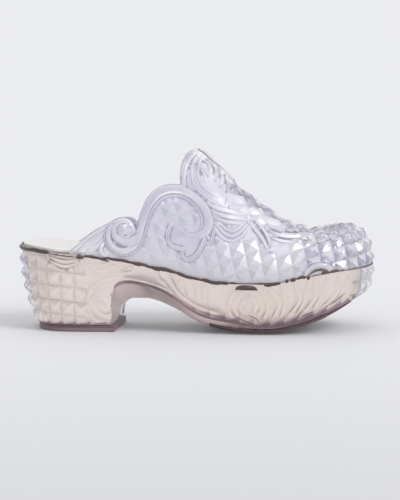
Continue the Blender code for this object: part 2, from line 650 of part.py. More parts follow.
def sole_mesh():
    ring, runs = sole_ring()
    bands = [Band(row, sole_spot, SOLE_BAND_STEP) for row in SOLE_BANDS]
    lines = band_lines(ring, bands, SOLE_BAND_LINES, BAND_CLEAR)
    heel_edge, toe_edge = RIM_LENGTH - HEEL_STUD_SPAN, TOE_STUD_SPAN
    spans = (0, int(HEEL_STUD_SPAN / HEEL_COLUMN)), (0, HEEL_ROWS)
    heel = lattice_lines(ring, bands, heel_lattice_place, *spans, SOLE_STUD_CLEAR)
    spans = (0, int(TOE_STUD_SPAN / TOE_COLUMN)), (0, TOE_ROWS)
    toe = lattice_lines(ring, bands, toe_lattice_place, *spans, SOLE_STUD_CLEAR)
    flat_points, flat_faces = triangulate(ring, lines + [heel, toe])
    s = flat_points[:, 0]
    heel_stud = np.where(flat_points[:, 1] > HEEL_LIP, stud(*heel_lattice(flat_points)), 0.0)
    plain = np.where(s > heel_edge, heel_stud * HEEL_STUD_HEIGHT, 0.0)
    plain = np.where(s < toe_edge, stud(*toe_lattice(flat_points)) * TOE_STUD_HEIGHT, plain)
    raised = band_relief(flat_points, bands)
    heights = np.where(raised >= 0, raised, plain)
    heights[list(runs["bottom"])] = 0.0
    lip = HEEL_RIM_LIP * np.clip((s - heel_edge) / HEEL_RIM_LIP_RUN, 0, 1)
    heights[list(runs["rim"])] = lip[list(runs["rim"])]

    points, faces, start = [], [], {}
    for side in (OUTER, INNER):
        start[side] = len(points)
        base = sole_point(s, flat_points[:, 1], side)
        _, normal = rim_frame(s, side)
        points += list(base + np.column_stack((normal, np.zeros(len(s)))) * heights[:, None])
        faces += [tuple(start[side] + i for i in f) for f in flat_faces]
    points = np.array(points)
    top = list(runs["rim"])
    faces += [(start[OUTER] + a, start[OUTER] + b, start[INNER] + b, start[INNER] + a)
              for a, b in zip(top[:-1], top[1:])]
    low = np.array(runs["bottom"])
    left, right = points[start[OUTER] + low], points[start[INNER] + low]
    rows = belly_strip(left, right, left[:, 0], right[:, 0], BELLY_SHARES)
    first = len(points)
    points = np.concatenate([points] + rows)
    count = len(low)
    index = [start[OUTER] + low] + [first + k * count + np.arange(count) for k in range(len(rows))]
    index.append(start[INNER] + low)
    for a, b in zip(index[:-1], index[1:]):
        faces += [(a[i], a[i + 1], b[i + 1], b[i]) for i in range(count - 1)]
    return closed_mesh("sole", points, faces)


def plate(name, rows, thickness, up, collection):
    """A sheet lofted across rows of points and thickened up or down."""
    across = len(rows)
    points = np.concatenate(rows)
    count = len(rows[0])
    faces = [(k * count + i, k * count + i + 1, (k + 1) * count + i + 1, (k + 1) * count + i)
             for k in range(across - 1) for i in range(count - 1)]
    obj = add_object(name, closed_mesh(name, points, faces), collection)
    solid = obj.modifiers.new("thickness", "SOLIDIFY")
    solid.thickness = thickness * MM
    solid.offset = 1.0 if (obj.data.polygons[0].normal.z > 0) == up else -1.0
    solid.use_even_offset = True
    return obj


def insole(collection):
    s = np.linspace(0, RIM_LENGTH, INSOLE_STEPS + 2)[1:-1]
    seated = np.clip((rim_x(s) - INSOLE_SEAT_X) / INSOLE_SEAT_RUN, 0, 1)
    deep = RIM_INSET + WALL + INSOLE_PLAY
    inset = INSOLE_HEEL_INSET + (deep - INSOLE_HEEL_INSET) * seated ** 2 * (3 - 2 * seated)
    edges = {}
    for side in (OUTER, INNER):
        rim, normal = rim_frame(s, side)
        plan = rim - normal * inset[:, None]
        edges[side] = np.column_stack((plan, SHAPE_AT["rim"](plan[:, 0]) + GAP))
    rows = [edges[OUTER] * (1 - t) + edges[INNER] * t for t in INSOLE_SHARES]
    for row in rows:
        row[:, 2] = SHAPE_AT["rim"](row[:, 0]) + GAP
    return plate("insole", rows, INSOLE_THICKNESS, True, collection)


def outsole(collection):
    s = bottom_walk()
    s = s[(rim_x(s) > OUTSOLE_BACK) & (rim_x(s) < OUTSOLE_FRONT)]
    low = sole_depth(s)
    left, right = sole_point(s, low, OUTER), sole_point(s, low, INNER)
    rows = belly_strip(left, right, left[:, 0], right[:, 0], BELLY_SHARES)
    for row in rows:
        row[:, 2] -= GAP
    return plate("outsole", rows, OUTSOLE_THICKNESS, False, collection)


def heel_lift(collection):
    s = np.linspace(walk_to(LIFT_FRONT), RIM_LENGTH, LIFT_STEPS)
    low = SHAPE_AT["rim"](rim_x(s)) - BELLY_AT["edge"](BACK_X)
    outline = []
    for side in (OUTER, INNER):
        _, normal = rim_frame(s, side)
        plan = sole_point(s, low, side)[:, :2] - normal * LIFT_INSET
        outline += list(plan if side == OUTER else plan[-2::-1])
    curve = bpy.data.curves.new("heel lift outline", "CURVE")
    curve.dimensions = "2D"
    curve.fill_mode = "BOTH"
    curve.extrude = LIFT_THICKNESS / 2 * MM
    spline = curve.splines.new("POLY")
    spline.points.add(len(outline) - 1)
    for point, (px, py) in zip(spline.points, outline):
        point.co = (px * MM, py * MM, 0.0, 1.0)
    spline.use_cyclic_u = True
    shape = bpy.data.objects.new("heel lift outline", curve)
    mesh = bpy.data.meshes.new_from_object(shape)
    bpy.data.objects.remove(shape)
    bm = bmesh.new()
    bm.from_mesh(mesh)
    bmesh.ops.remove_doubles(bm, verts=bm.verts, dist=1e-6)
    bmesh.ops.translate(bm, verts=bm.verts, vec=(0.0, 0.0, LIFT_THICKNESS / 2 * MM))
    bmesh.ops.recalc_face_normals(bm, faces=bm.faces)
    bm.to_mesh(mesh)
    bm.free()
    mesh.name = "heel_lift"
    return add_object("heel_lift", mesh, collection)


def main():
    for old in list(bpy.data.objects):
        bpy.data.objects.remove(old)
    collection = bpy.data.collections.new("platform clog")
    bpy.context.scene.collection.children.link(collection)
    add_object("upper", upper_mesh(), collection)
    add_object("sole", sole_mesh(), collection)
    insole(collection)
    outsole(collection)
    heel_lift(collection)


main()
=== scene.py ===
"""Looks of the platform clog: moulded see-through plastic with studs, scrolls and a dark joint line.

Right shoe. +X runs to the toe, -Y is the outer side, +Z is up, the floor is z = 0.
Sizes of the shoe are in millimetres; meshes, materials and the stage are in metres.
A place on an unrolled wall is (s, q): s along the rim from the toe, q up the upper or down the sole.
"""
import math

import bmesh
import bpy
import numpy as np
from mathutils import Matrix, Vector
from mathutils.geometry import delaunay_2d_cdt


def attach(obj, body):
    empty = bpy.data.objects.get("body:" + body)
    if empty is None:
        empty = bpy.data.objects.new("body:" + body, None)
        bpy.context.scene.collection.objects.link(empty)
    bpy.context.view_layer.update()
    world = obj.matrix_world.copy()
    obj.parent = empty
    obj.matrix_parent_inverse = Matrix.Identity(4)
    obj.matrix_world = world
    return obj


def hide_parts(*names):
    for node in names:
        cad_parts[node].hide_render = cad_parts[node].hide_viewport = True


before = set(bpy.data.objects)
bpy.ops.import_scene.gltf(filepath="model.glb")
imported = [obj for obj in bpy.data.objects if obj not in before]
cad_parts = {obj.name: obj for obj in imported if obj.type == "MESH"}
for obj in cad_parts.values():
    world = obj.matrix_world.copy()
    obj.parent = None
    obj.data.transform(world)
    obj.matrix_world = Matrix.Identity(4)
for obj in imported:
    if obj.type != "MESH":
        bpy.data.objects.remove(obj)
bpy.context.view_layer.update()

MM = 0.001
SMALL = 1e-12
OUTER, INNER = -1, 1
SIDES = (OUTER, INNER)

# Driving sizes: ends of the plan, walls and joints, spine and tongue, what the inner side changes
BACK_X, HEEL_ROUND, HEEL_SQUARE = -126.3, 38.0, 2.2
TOE_X, TOE_ROUND, TOE_SQUARE = 126.3, 54.0, 2.3
WALL, GAP, RIM_INSET = 2.6, 0.3, 0.6
HEEL_RIM_LIP, RIM_LIP_RUN = 1.8, 12.0
FAN_X, SPINE_END_X, PEAK_X = 60.0, 104.0, 0.4
INNER_COLLAR_DROP, COLLAR_DROP_RUN, COLLAR_DROP_RISE = 5.0, 14.0, 28.0
INNER_BREAST_SKEW, BREAST_SKEW_REACH, BREAST_SKEW_TURN, BREAST_SKEW_POWER = 7.0, 42.0, 0.85, 1.3

# Insole, outsole and lift; each level of the lift is a height and how far it is eased in
INSOLE_THICKNESS, INSOLE_EDGE = 2.6, 0.7
INSOLE_HEEL_INSET, INSOLE_PLAY, INSOLE_SEAT_X, INSOLE_SEAT_RUN = 1.0, 0.35, -101.0, 8.0
OUTSOLE_THICKNESS, OUTSOLE_EDGE, OUTSOLE_BACK, OUTSOLE_FRONT = 2.3, 0.15, 9.0, 114.0
OUTSOLE_FADE, OUTSOLE_END_SHARE = 22.0, 0.16
OUTSOLE_JAG, OUTSOLE_JAG_SHARE, OUTSOLE_REACH = 1.4, 0.8, 0.86
LOWER_EDGE_SHARE = 0.6
# From the lift's shade height up, the lift takes a darker material: painted shade where it meets the sole
LIFT_THICKNESS, LIFT_FRONT, LIFT_SHADE_FROM, LIFT_INSET, HEEL_FLAT_X = 4.7, -58.0, 2.6, 0.7, -80.0
LIFT_LEVELS = (
    (0.0, 0.7), (0.25, 0.2), (0.7, 0.0), (2.6, 0.0), (2.8, 0.25), (3.1, 0.25), (3.3, 0.0), (4.3, 0.0),
    (4.6, 0.2), (LIFT_THICKNESS, 0.6),
)

# Studs: pitch, height, how many; on the upper columns spread upward and rows rise toward the toe
STUD, UPPER_STUD_HEIGHT, UPPER_COLUMNS, UPPER_ROWS = 10.2, 2.3, 27, 24
LATTICE_SPREAD, LATTICE_RISE, LATTICE_ROUNDS = 0.002, 0.0015, 60
HEEL_COLUMN, HEEL_ROW, HEEL_STUD_HEIGHT, HEEL_ROWS = 9.8, 10.2, 1.9, 5
HEEL_STUD_SPAN, HEEL_CLEAR_SPAN, HEEL_LIP = 68.6, 19.6, 3.4
BACK_STUD_RISE, CUSHION_POWER = 1.35, 2.4
TOE_COLUMN, TOE_ROW, TOE_STUD_HEIGHT, TOE_ROWS = 9.6, 9.4, 2.2, 3
TOE_STUD_SPAN, TOE_CLEAR_SPAN = 38.4, 28.8
HEEL_COLUMNS, TOE_COLUMNS = round(HEEL_STUD_SPAN / HEEL_COLUMN), round(TOE_STUD_SPAN / TOE_COLUMN)
STUD_LEAST, LIP_SHARE = 0.03, 0.99
CHANCE_COLUMN, CHANCE_ROW, CHANCE_SCALE = 12.9898, 78.233, 43758.5

# Forms across and along a band: ribs of the edged one are centre, half width and height
HUMP_POWER, KEEL_POWER, CUT_SLOPE = 3.2, 0.85, 1.6
DOUBLE_CENTRE, DOUBLE_HALF = 0.54, 0.46
EDGED_RIBS = ((-0.32, 0.68, 1.0), (0.66, 0.14, 0.45), (0.94, 0.06, 0.36))
HOOK_FROM, HOOK_TAPER, HOOK_POWER = 0.82, 0.88, 1.2
LEAF_START, LEAF_POWER, LEAF_LEAST = 0.06, 0.75, 0.35

# Steps of walks and outlines, shares across, and the rows of BELLY that make the heel's breast
WALK_STEPS, STATION_STEPS, DEPTH_STEPS, SETTLE_ROUNDS = 1201, 65, 900, 12
TANGENT_STEP, TIP_RUN, NORMAL_STEP, NORMAL_SHARE = 0.4, 6.0, 0.3, 0.004
UPPER_RIM, UPPER_TOE, SPINE_STEPS, SPINE_STEP, COLLAR_STEP = 140, 25, 600, 1.2, 1.0
SOLE_RIM, SOLE_TOE, SOLE_BACK = 200, 13, 36
BOTTOM_STEP, OUTSOLE_STEP, BREAST_CLEAR, BREAST_SAME = 2.0, 1.0, 0.6, 0.01
INSOLE_STEPS, OUTSOLE_LINES, BELLY_LINES, LIFT_STEPS, JOINT_STEPS, STREAK_STEPS = 240, 31, 21, 90, 500, 15
INSOLE_SHARES = np.concatenate(((0.0, 0.012), np.linspace(0.04, 0.96, 21), (0.988, 1.0)))
BELLY_SHARES = np.sin(np.linspace(-1, 1, BELLY_LINES)[1:-1] * math.pi / 2)
BREAST_ROWS = slice(1, 7)

# Mesh lines: steps, least distances to the outline, and to a band as shares of its half width
UPPER_BAND_STEP, SOLE_BAND_STEP, LATTICE_PARTS, DIGITS = 0.9, 1.0, 6, 3
BAND_CLEAR, STUD_CLEAR, EDGE_CLEAR = 0.5, 0.6, 0.5
GRID_STEP, UPPER_GRID_CLEAR, SOLE_GRID_CLEAR, LINING_STEP, LINING_CLEAR = 2.4, 1.2, 1.0, 3.2, 1.4
BAND_REACH, BAND_EDGE, LINE_APART, LATTICE_APART, GRID_APART = 1.6, 1.02, 1.06, 1.1, 1.3
FAR, FAR_SHARE = 1e9, 9.0

# Limits of the meshes, the last two in metres, and the angles in degrees over which edges are sharp
CDT_EPSILON, MERGE, DEGENERATE = 1e-4, 2e-6, 1e-6
UPPER_SHARP, SOLE_SHARP, PLATE_SHARP, LIFT_SHARP, JOINT_SHARP = 17.0, 24.0, 40.0, 35.0, 50.0

# From a corner of a stud, in half studs: two valleys, and four ridges to the tips about it
LATTICE_ARMS = ((2, 0), (0, 2), (1, 1), (1, -1), (-1, 1), (-1, -1))

# Rounded free edge of the upper: angles of its rows, bulge as a share of the wall, probe for its outside
LIP_ANGLES, LIP_BULGE, LIP_PROBE, LIP_STEP = (45.0, 90.0, 135.0), 0.45, 0.5, 0.4

# One row a section: half widths outer and inner, axis, rim and spine heights, roundness, wall lean
SHAPE_COLUMNS = ("x", "outer", "inner", "axis", "rim", "spine", "round", "lean")
SHAPE = (
    (-126.3, 33.0, 33.0, 0.0, 58.8, 150.0, 2.20, 13.5),
    (-100.0, 33.5, 33.0, 0.0, 57.3, 150.0, 2.20, 7.0),
    (-70.0, 33.2, 31.8, 0.0, 54.0, 149.0, 2.20, 5.5),
    (-40.0, 33.5, 29.8, 0.0, 49.6, 146.0, 2.10, 5.0),
    (-15.0, 36.3, 30.5, 0.0, 43.8, 138.5, 2.00, 5.0),
    (0.0, 39.0, 32.5, 0.0, 40.1, 129.4, 2.00, 5.0),
    (15.0, 42.3, 36.0, 0.2, 37.7, 117.2, 2.00, 5.0),
    (30.0, 45.2, 40.3, 0.5, 36.8, 101.3, 2.00, 5.0),
    (45.0, 47.2, 43.8, 1.0, 36.8, 89.7, 2.10, 5.0),
    (60.0, 48.0, 45.5, 1.5, 38.3, 78.9, 2.20, 5.0),
    (72.0, 47.8, 46.0, 2.1, 40.6, 73.0, 2.35, 5.5),
    (82.0, 47.0, 46.0, 2.6, 42.4, 71.0, 2.45, 6.5),
    (93.0, 46.0, 45.5, 3.1, 44.2, 72.6, 2.50, 9.0),
    (104.0, 44.5, 44.5, 3.7, 45.5, 75.3, 2.60, 12.0),
    (126.3, 42.0, 42.0, 5.0, 46.8, 75.3, 2.60, 22.0),
)

# One row a section of the underside: side edge, keel on the centre line, and squareness of the belly
BELLY_COLUMNS = ("x", "edge", "keel", "square")
BELLY = (
    (-127.0, 5.0, 5.0, 2.0),
    (-57.8, 5.0, 5.0, 2.0),
    (-57.4, 17.0, 8.5, 2.0),
    (-56.4, 28.0, 12.5, 2.0),
    (-54.2, 32.8, 16.0, 2.0),
    (-50.6, 34.8, 19.0, 2.1),
    (-46.0, 35.4, 21.5, 2.2),
    (-36.0, 33.8, 21.5, 2.2),
    (-27.0, 31.3, 19.5, 2.3),
    (-12.0, 22.8, 13.0, 2.6),
    (-3.0, 16.5, 7.8, 3.0),
    (8.0, 11.8, 3.8, 3.5),
    (22.0, 9.2, 2.6, 4.5),
    (50.0, 5.6, 2.6, 6.0),
    (58.0, 6.2, 3.2, 6.0),
    (70.0, 8.6, 5.4, 5.0),
    (84.0, 12.6, 9.4, 4.0),
    (94.0, 16.0, 13.0, 3.5),
    (104.0, 20.0, 17.2, 3.0),
    (113.0, 24.2, 21.8, 2.5),
    (127.0, 30.0, 29.0, 2.0),
)

# Top edge of the upper from the leaf tip to the tongue's peak, side view x and z
COLLAR = (
    (-89.5, 57.2), (-83.5, 61.6), (-77.0, 67.6), (-69.0, 73.2), (-60.0, 78.2), (-55.5, 80.8),
    (-51.2, 81.6), (-47.2, 80.2), (-44.2, 76.4), (-42.4, 72.6), (-40.6, 77.5), (-37.2, 88.0),
    (-33.2, 96.4), (-27.2, 102.2), (-21.3, 104.8), (-16.0, 105.4), (-10.8, 105.3), (-10.2, 112.5),
    (-9.2, 119.5), (-6.6, 125.4), (-3.8, 128.4), (-1.4, 129.2),
)

# Relief of the upper, topmost first: name, width law, two half widths, height, profile, side view x and z
UPPER_RELIEF = (
    ("bead", "even", 3.4, 3.4, 2.0, "round", ((-51.0, 74.2), (-50.4, 74.2))),
    ("inner volute", "even", 2.8, 1.1, 1.0, "round", (
        (-42.6, 67.0), (-46.0, 64.8), (-51.5, 65.2), (-57.0, 69.2), (-58.0, 75.0), (-54.6, 79.2),
        (-50.2, 80.0), (-46.2, 77.4))),
    ("scroll", "hook", 2.4, 5.0, 1.1, "edged", (
        (-60.0, 76.4), (-62.8, 70.8), (-61.6, 64.2), (-57.4, 59.6), (-51.0, 57.6), (-44.8, 59.8),
        (-40.2, 66.0), (-37.4, 75.6), (-34.6, 86.0), (-30.6, 93.6), (-25.2, 98.8), (-19.0, 101.0),
        (-12.6, 101.0), (-6.0, 98.8), (0.2, 94.4), (5.4, 88.4), (8.0, 81.2), (6.6, 74.8), (1.8, 71.2),
        (-4.2, 71.0), (-9.4, 74.4))),
    ("left lobe", "even", 1.5, 1.5, 0.9, "double", (
        (-17.8, 76.6), (-19.6, 71.4), (-18.8, 65.4), (-15.0, 62.0), (-9.0, 60.8))),
    ("drop leaf", "even", 1.5, 1.5, 0.9, "double", (
        (-9.0, 60.8), (-9.0, 56.4), (-6.2, 53.4), (-1.8, 54.6), (2.8, 59.6), (5.4, 64.4), (6.8, 67.6))),
    ("right lobe", "even", 1.3, 1.3, 0.8, "double", (
        (6.8, 67.2), (9.6, 64.8), (11.6, 65.6), (12.4, 69.4), (13.4, 74.0))),
    ("tail top", "even", 1.5, 1.0, 0.8, "round", (
        (-61.0, 78.0), (-68.0, 73.2), (-76.0, 67.4), (-86.0, 59.0))),
    ("tail middle", "leaf", 2.6, 0.0, 0.8, "round", (
        (-62.5, 74.0), (-69.0, 69.2), (-76.0, 63.4), (-82.5, 57.6))),
    ("tail low", "leaf", 2.4, 0.0, 0.8, "round", (
        (-63.6, 70.0), (-68.5, 65.4), (-73.0, 60.4), (-77.0, 55.8))),
    ("tail bud", "leaf", 2.2, 0.0, 1.8, "keel", (
        (-63.8, 66.0), (-67.4, 61.4), (-66.6, 56.6), (-64.0, 54.6))),
    ("tongue crest", "leaf", 3.2, 0.0, 2.0, "round", (
        (1.4, 130.0), (8.0, 125.0), (14.0, 120.0), (20.0, 114.0), (26.0, 107.5))),
    ("tongue edge", "even", 1.7, 1.5, 0.35, "round", (
        (-8.6, 105.0), (-8.4, 113.0), (-7.0, 119.6), (-4.2, 124.4), (-1.2, 126.8))),
    ("tongue roll", "even", 0.9, 0.9, 0.3, "faint", (
        (0.0, 124.6), (-2.4, 119.6), (-3.0, 113.4), (-1.8, 107.0), (1.8, 101.8), (8.2, 96.6),
        (15.0, 93.0), (23.0, 90.2))),
    ("tongue fold", "even", 0.8, 0.8, 0.25, "faint", (
        (3.4, 122.6), (1.6, 117.6), (1.6, 111.8), (4.4, 105.2), (10.6, 100.0), (19.0, 96.4))),
    ("petal 1", "leaf", 1.7, 0.0, 1.7, "keel", ((3.6, 121.4), (7.6, 119.8), (10.4, 115.6), (9.4, 110.6))),
    ("petal 2", "leaf", 1.8, 0.0, 1.8, "keel", ((7.0, 122.0), (11.6, 118.4), (14.4, 113.4), (13.6, 107.6))),
    ("petal 3", "leaf", 1.8, 0.0, 1.8, "keel", (
        (11.8, 118.6), (16.0, 114.2), (18.6, 109.2), (17.6, 103.4))),
    ("petal 4", "leaf", 1.7, 0.0, 1.7, "keel", ((16.6, 113.8), (20.4, 109.6), (22.8, 104.6), (21.6, 99.6))),
    ("petal 5", "leaf", 1.4, 0.0, 1.4, "keel", ((3.0, 116.0), (5.6, 113.0), (6.0, 109.0))),
    ("shoulder rib 1", "leaf", 1.9, 0.0, 1.2, "faint", (
        (7.5, 92.6), (16.0, 89.0), (26.0, 86.4), (39.0, 83.4))),
    ("shoulder rib 2", "leaf", 1.7, 0.0, 1.1, "faint", (
        (10.4, 88.0), (18.0, 84.8), (27.0, 82.4), (39.0, 80.4))),
    ("shoulder rib 3", "leaf", 1.5, 0.0, 1.0, "faint", (
        (12.6, 83.2), (19.0, 80.8), (27.5, 79.0), (36.5, 78.4))),
    ("swag 1", "even", 1.1, 1.1, 0.8, "faint", (
        (13.8, 76.0), (18.5, 69.8), (25.5, 66.8), (32.5, 69.8), (38.2, 76.0))),
    ("swag 2", "even", 1.1, 1.1, 0.8, "faint", (
        (15.6, 77.6), (19.8, 72.9), (25.6, 70.2), (31.6, 72.9), (36.6, 77.4))),
    ("swag 3", "even", 1.0, 1.0, 0.7, "faint", (
        (18.2, 78.2), (21.4, 75.4), (25.8, 73.6), (30.4, 75.4), (34.0, 78.0))),
    ("blade 1", "leaf", 1.7, 0.0, 1.4, "bold", ((37.0, 78.6), (43.0, 73.8), (48.2, 67.0), (52.2, 58.8))),
    ("blade 2", "leaf", 1.5, 0.0, 1.4, "bold", ((41.6, 79.6), (47.0, 75.4), (51.0, 70.0), (54.0, 62.6))),
    ("toe rib 1", "leaf", 2.2, 0.0, 2.0, "keel", ((50.0, 77.0), (60.0, 73.4), (69.5, 71.8), (80.0, 70.6))),
    ("toe rib 2", "leaf", 2.0, 0.0, 1.8, "keel", ((52.0, 73.2), (61.5, 69.8), (70.0, 68.6), (80.0, 68.2))),
    ("toe rib 3", "leaf", 1.6, 0.0, 1.4, "keel", ((53.0, 69.2), (62.5, 66.4), (73.0, 65.4))),
    ("toe arch", "even", 1.8, 1.8, 0.6, "faint", (
        (78.2, 43.6), (80.2, 47.0), (84.6, 49.6), (90.0, 50.0), (94.8, 48.4), (97.2, 46.0))),
)

# The smooth leaf under the scroll, side view x and z, and its height
LEAF = (
    (-17.8, 77.4), (-19.6, 71.4), (-18.8, 65.4), (-15.0, 62.0), (-9.0, 60.8), (-9.0, 56.4),
    (-6.2, 53.4), (-1.8, 54.6), (2.8, 59.6), (5.4, 64.4), (6.8, 67.2), (9.6, 64.8), (11.6, 65.6),
    (12.4, 69.4), (13.4, 75.0), (8.8, 80.0), (3.4, 80.0), (-3.0, 76.4), (-9.0, 78.4), (-13.4, 80.4),
)
LEAF_HEIGHT = 0.7

# Relief of the sole's side, the same columns
SOLE_RELIEF = (
    ("heel volute", "even", 1.2, 2.0, 0.5, "soft", (
        (-64.0, 19.0), (-66.4, 21.6), (-69.0, 19.4), (-67.6, 14.6), (-62.4, 12.6), (-58.6, 17.0),
        (-60.0, 24.6), (-66.0, 28.4), (-72.6, 25.4), (-75.4, 17.4), (-71.4, 9.6), (-66.0, 7.4))),
    ("shank roll", "even", 2.2, 1.4, 0.5, "soft", (
        (-77.4, 24.0), (-73.0, 32.4), (-64.0, 37.8), (-53.5, 39.6), (-41.0, 38.4), (-30.0, 35.4),
        (-20.0, 31.8))),
    ("shank cord", "even", 1.2, 1.0, 0.4, "soft", (
        (-68.0, 33.2), (-60.0, 35.4), (-51.0, 36.2), (-40.0, 35.6), (-30.0, 33.0))),
    ("heel swirl", "even", 1.6, 1.2, 0.5, "soft", (
        (-81.0, 51.0), (-77.0, 44.8), (-68.0, 41.4), (-58.0, 42.2), (-46.0, 44.0))),
    ("crescent 1", "leaf", 1.6, 0.0, 1.4, "round", ((-104.0, 54.2), (-94.0, 50.8), (-83.0, 52.0))),
    ("crescent 2", "leaf", 1.6, 0.0, 1.4, "round", ((-103.0, 51.2), (-94.0, 47.6), (-84.0, 48.8))),
    ("waist roll", "even", 1.4, 2.0, 0.5, "soft", (
        (-17.5, 39.6), (-12.6, 31.2), (-4.0, 23.8), (5.5, 19.0), (16.0, 16.2))),
    ("waist cord", "even", 1.2, 1.2, 0.4, "soft", (
        (-21.5, 36.5), (-14.0, 26.6), (-5.0, 19.2), (6.0, 14.6), (17.0, 12.4))),
    ("leaf stroke 1", "leaf", 1.0, 0.0, 0.7, "cut", ((29.5, 13.0), (35.0, 10.4), (41.5, 8.2))),
    ("leaf stroke 2", "leaf", 0.8, 0.0, 0.6, "cut", ((38.5, 14.6), (43.5, 12.0), (46.8, 7.6))),
    ("leaf stroke 3", "leaf", 0.8, 0.0, 0.6, "cut", ((70.6, 11.6), (73.4, 14.4), (75.6, 18.2))),
    ("leaf stroke 4", "leaf", 0.9, 0.0, 0.7, "cut", ((75.0, 12.6), (79.0, 15.0), (84.0, 17.0))),
    ("leaf stroke 5", "leaf", 0.8, 0.0, 0.6, "cut", ((94.0, 20.0), (100.0, 23.4), (107.0, 28.6))),
    ("shank stroke", "leaf", 1.0, 0.0, 0.6, "cut", (
        (-56.0, 39.0), (-46.7, 40.2), (-38.1, 39.0), (-31.0, 36.4), (-25.3, 34.0), (-21.6, 32.2))),
)

# Fans of acanthus strokes on the sole's side: how many, half width, height, first and last stroke
SOLE_FANS = (
    ("heel lobe", 4, 1.5, 0.4,
     ((-79.0, 47.0), (-72.0, 50.5), (-62.0, 50.5)), ((-52.0, 44.5), (-48.0, 47.0), (-44.0, 47.6))),
    ("waist fold", 5, 2.2, 0.45,
     ((-27.0, 45.0), (-24.0, 40.0), (-20.5, 34.5)), ((8.0, 37.0), (8.5, 30.0), (9.0, 20.0))),
    ("ball flame", 4, 2.3, 0.5,
     ((52.0, 34.0), (58.0, 25.0), (55.0, 12.5)), ((80.0, 38.0), (79.5, 27.0), (71.5, 14.5))),
    ("toe flame", 4, 2.3, 0.45,
     ((85.0, 40.0), (84.0, 29.0), (77.0, 17.0)), ((109.0, 41.5), (107.0, 31.0), (97.0, 22.0))),
)
FAN_SWAY = 1.6

# The rosette on the sole's side: arcs about a centre, through a turn in degrees
ROSETTE_CENTRE, ROSETTE_RADII, ROSETTE_HALF, ROSETTE_HEIGHT = (38.0, 21.5), (5.0, 9.2, 13.6), 1.9, 0.55
ROSETTE_TURN, ROSETTE_STEPS = (-35, 215), 14

# Where the upper turns to its toe and spine, darkened with painted shade: along x, and as a share of the way
# up
TOE_FROM_X, TOE_TO_X = 54.0, 98.0
SPINE_FROM, SPINE_FADE = 0.72, 0.14

# Where studs weaken: behind and in the scroll, low along the joint, in crowded stations, on plain places
STUDS_FROM_X, STUDS_FADE_X = -41.0, 6.0
SCROLL_STUDS, SCROLL_STUDS_X = 0.6, 4.0
STUDS_FADE_Q, STUDS_LOW, STUDS_LOW_TOE = 12.0, 0.25, 0.95
SPREAD_FULL = 0.7
FAN_STUDS_Q, FAN_STUDS_SLOPE, FAN_STUDS_S, FAN_STUDS_SHARE = 46.0, 0.6, 40.0, 0.75
VOLUTE_PLAIN = ((76.0, 40.0), (78.0, 46.6), (84.0, 51.0), (91.0, 51.4), (97.0, 49.0), (99.5, 43.5))
TONGUE_PLAIN = (
    (-14.0, 101.0), (2.0, 96.0), (16.0, 93.5), (24.0, 96.0), (27.0, 106.0), (10.0, 135.0), (-14.0, 135.0),
)

# The dark line in the joint: how thick it is along the rim, and how far its middle lies over the rim
JOINT_COLUMNS = ("x", "half", "lift")
JOINT = (
    (-127.0, 0.7, -0.2), (-104.0, 0.8, -0.4), (-100.0, 0.6, -1.2), (-90.0, 0.5, -1.6),
    (-82.0, 0.8, -1.0), (-70.0, 0.7, 0.0), (0.0, 0.6, 0.0), (20.0, 0.6, 0.0), (28.0, 0.4, 0.5),
    (37.5, 0.25, 0.8), (46.0, 0.4, 0.5), (54.0, 0.7, 0.0), (61.0, 0.3, 0.0), (104.0, 0.5, 0.0),
    (112.0, 0.4, 0.0), (127.0, 0.35, 0.0),
)

# Streaks of the dark line: from and to along the shoe, height over the rim, half height, bow, flat foot
STREAKS = (
    ("half moon", 28.6, 45.0, -4.2, 1.9, 0.0, 1.0),
    ("heel hook", -84.6, -79.4, -2.4, 1.6, 0.0, 1.0),
    ("heel stroke", -111.0, -103.0, -0.4, 1.5, 0.4, 0.0),
    ("left of moon", 23.0, 31.0, 0.2, 0.7, 0.5, 0.0),
    ("right of moon", 43.4, 51.0, 0.2, 0.7, 0.5, 0.0),
    ("diamond", 64.0, 66.6, 0.2, 1.3, 0.0, 0.0),
    ("curl", 67.4, 72.0, 0.2, 1.5, 0.0, 0.0),
    ("curl tail", 72.0, 79.0, 0.4, 0.9, 0.6, 0.0),
    ("volute foot", 79.2, 81.6, -0.4, 1.7, 0.0, 0.0),
    ("first dot", 73.4, 75.2, 0.5, 0.9, 0.0, 0.0),
    ("second dot", 76.4, 78.4, 0.4, 1.1, 0.0, 0.0),
    ("volute arch", 80.0, 94.8, 0.2, 0.75, 3.6, 0.0),
    ("volute drop", 89.6, 94.6, 0.9, 1.3, 0.6, 0.0),
    ("toe stroke", 95.4, 102.0, 0.6, 1.1, 0.4, 0.0),
)
STREAK_SPANS = ((-126.0, -104.0), (-79.0, 24.0), (49.0, 61.0))
STREAK_PITCH, STREAK_LENGTH, STREAK_HALF, STREAK_LEAN = 4.6, (7.0, 16.0), (0.5, 1.4), 0.6
STREAK_LIFT, STREAK_TILT = (-1.0, 0.8), (-0.2, 1.0)
STREAK_POWER, STREAK_FLAT_POWER, STREAK_LEAST, BOW_POWER = 0.55, 0.2, 0.04, 0.6
JOINT_SEED, JOINT_PITCHES, JOINT_WAVE, JOINT_WANDER, JOINT_WANDER_X = 7, (5.3, 8.9, 15.0), 0.6, 0.35, 104.0
JOINT_REACH, JOINT_SWELL = 0.6, 0.6
JOINT_TURNS = np.radians(np.arange(0, 360, 45))

# Painted shade along the sole's bottom edge, a dark jagged band: lines of points over the edge, depth, jags,
# and the heel's share
BAND_RISES = (0.8, 1.6, 2.6, 4.0)
BAND_LINE, BAND_DEPTH, BAND_BACK, BAND_FROM_X, BAND_RUN = (1.2, 4.0), 9.0, 0.25, -20.0, 30.0
DASH, SAW_LEAST, SMOOTH_SAW, JAG_FROM_X, JAG_RUN = 10.6, 0.6, 0.35, -8.0, 20.0
HEEL_BAND, HEEL_BAND_X = 0.5, -62.0
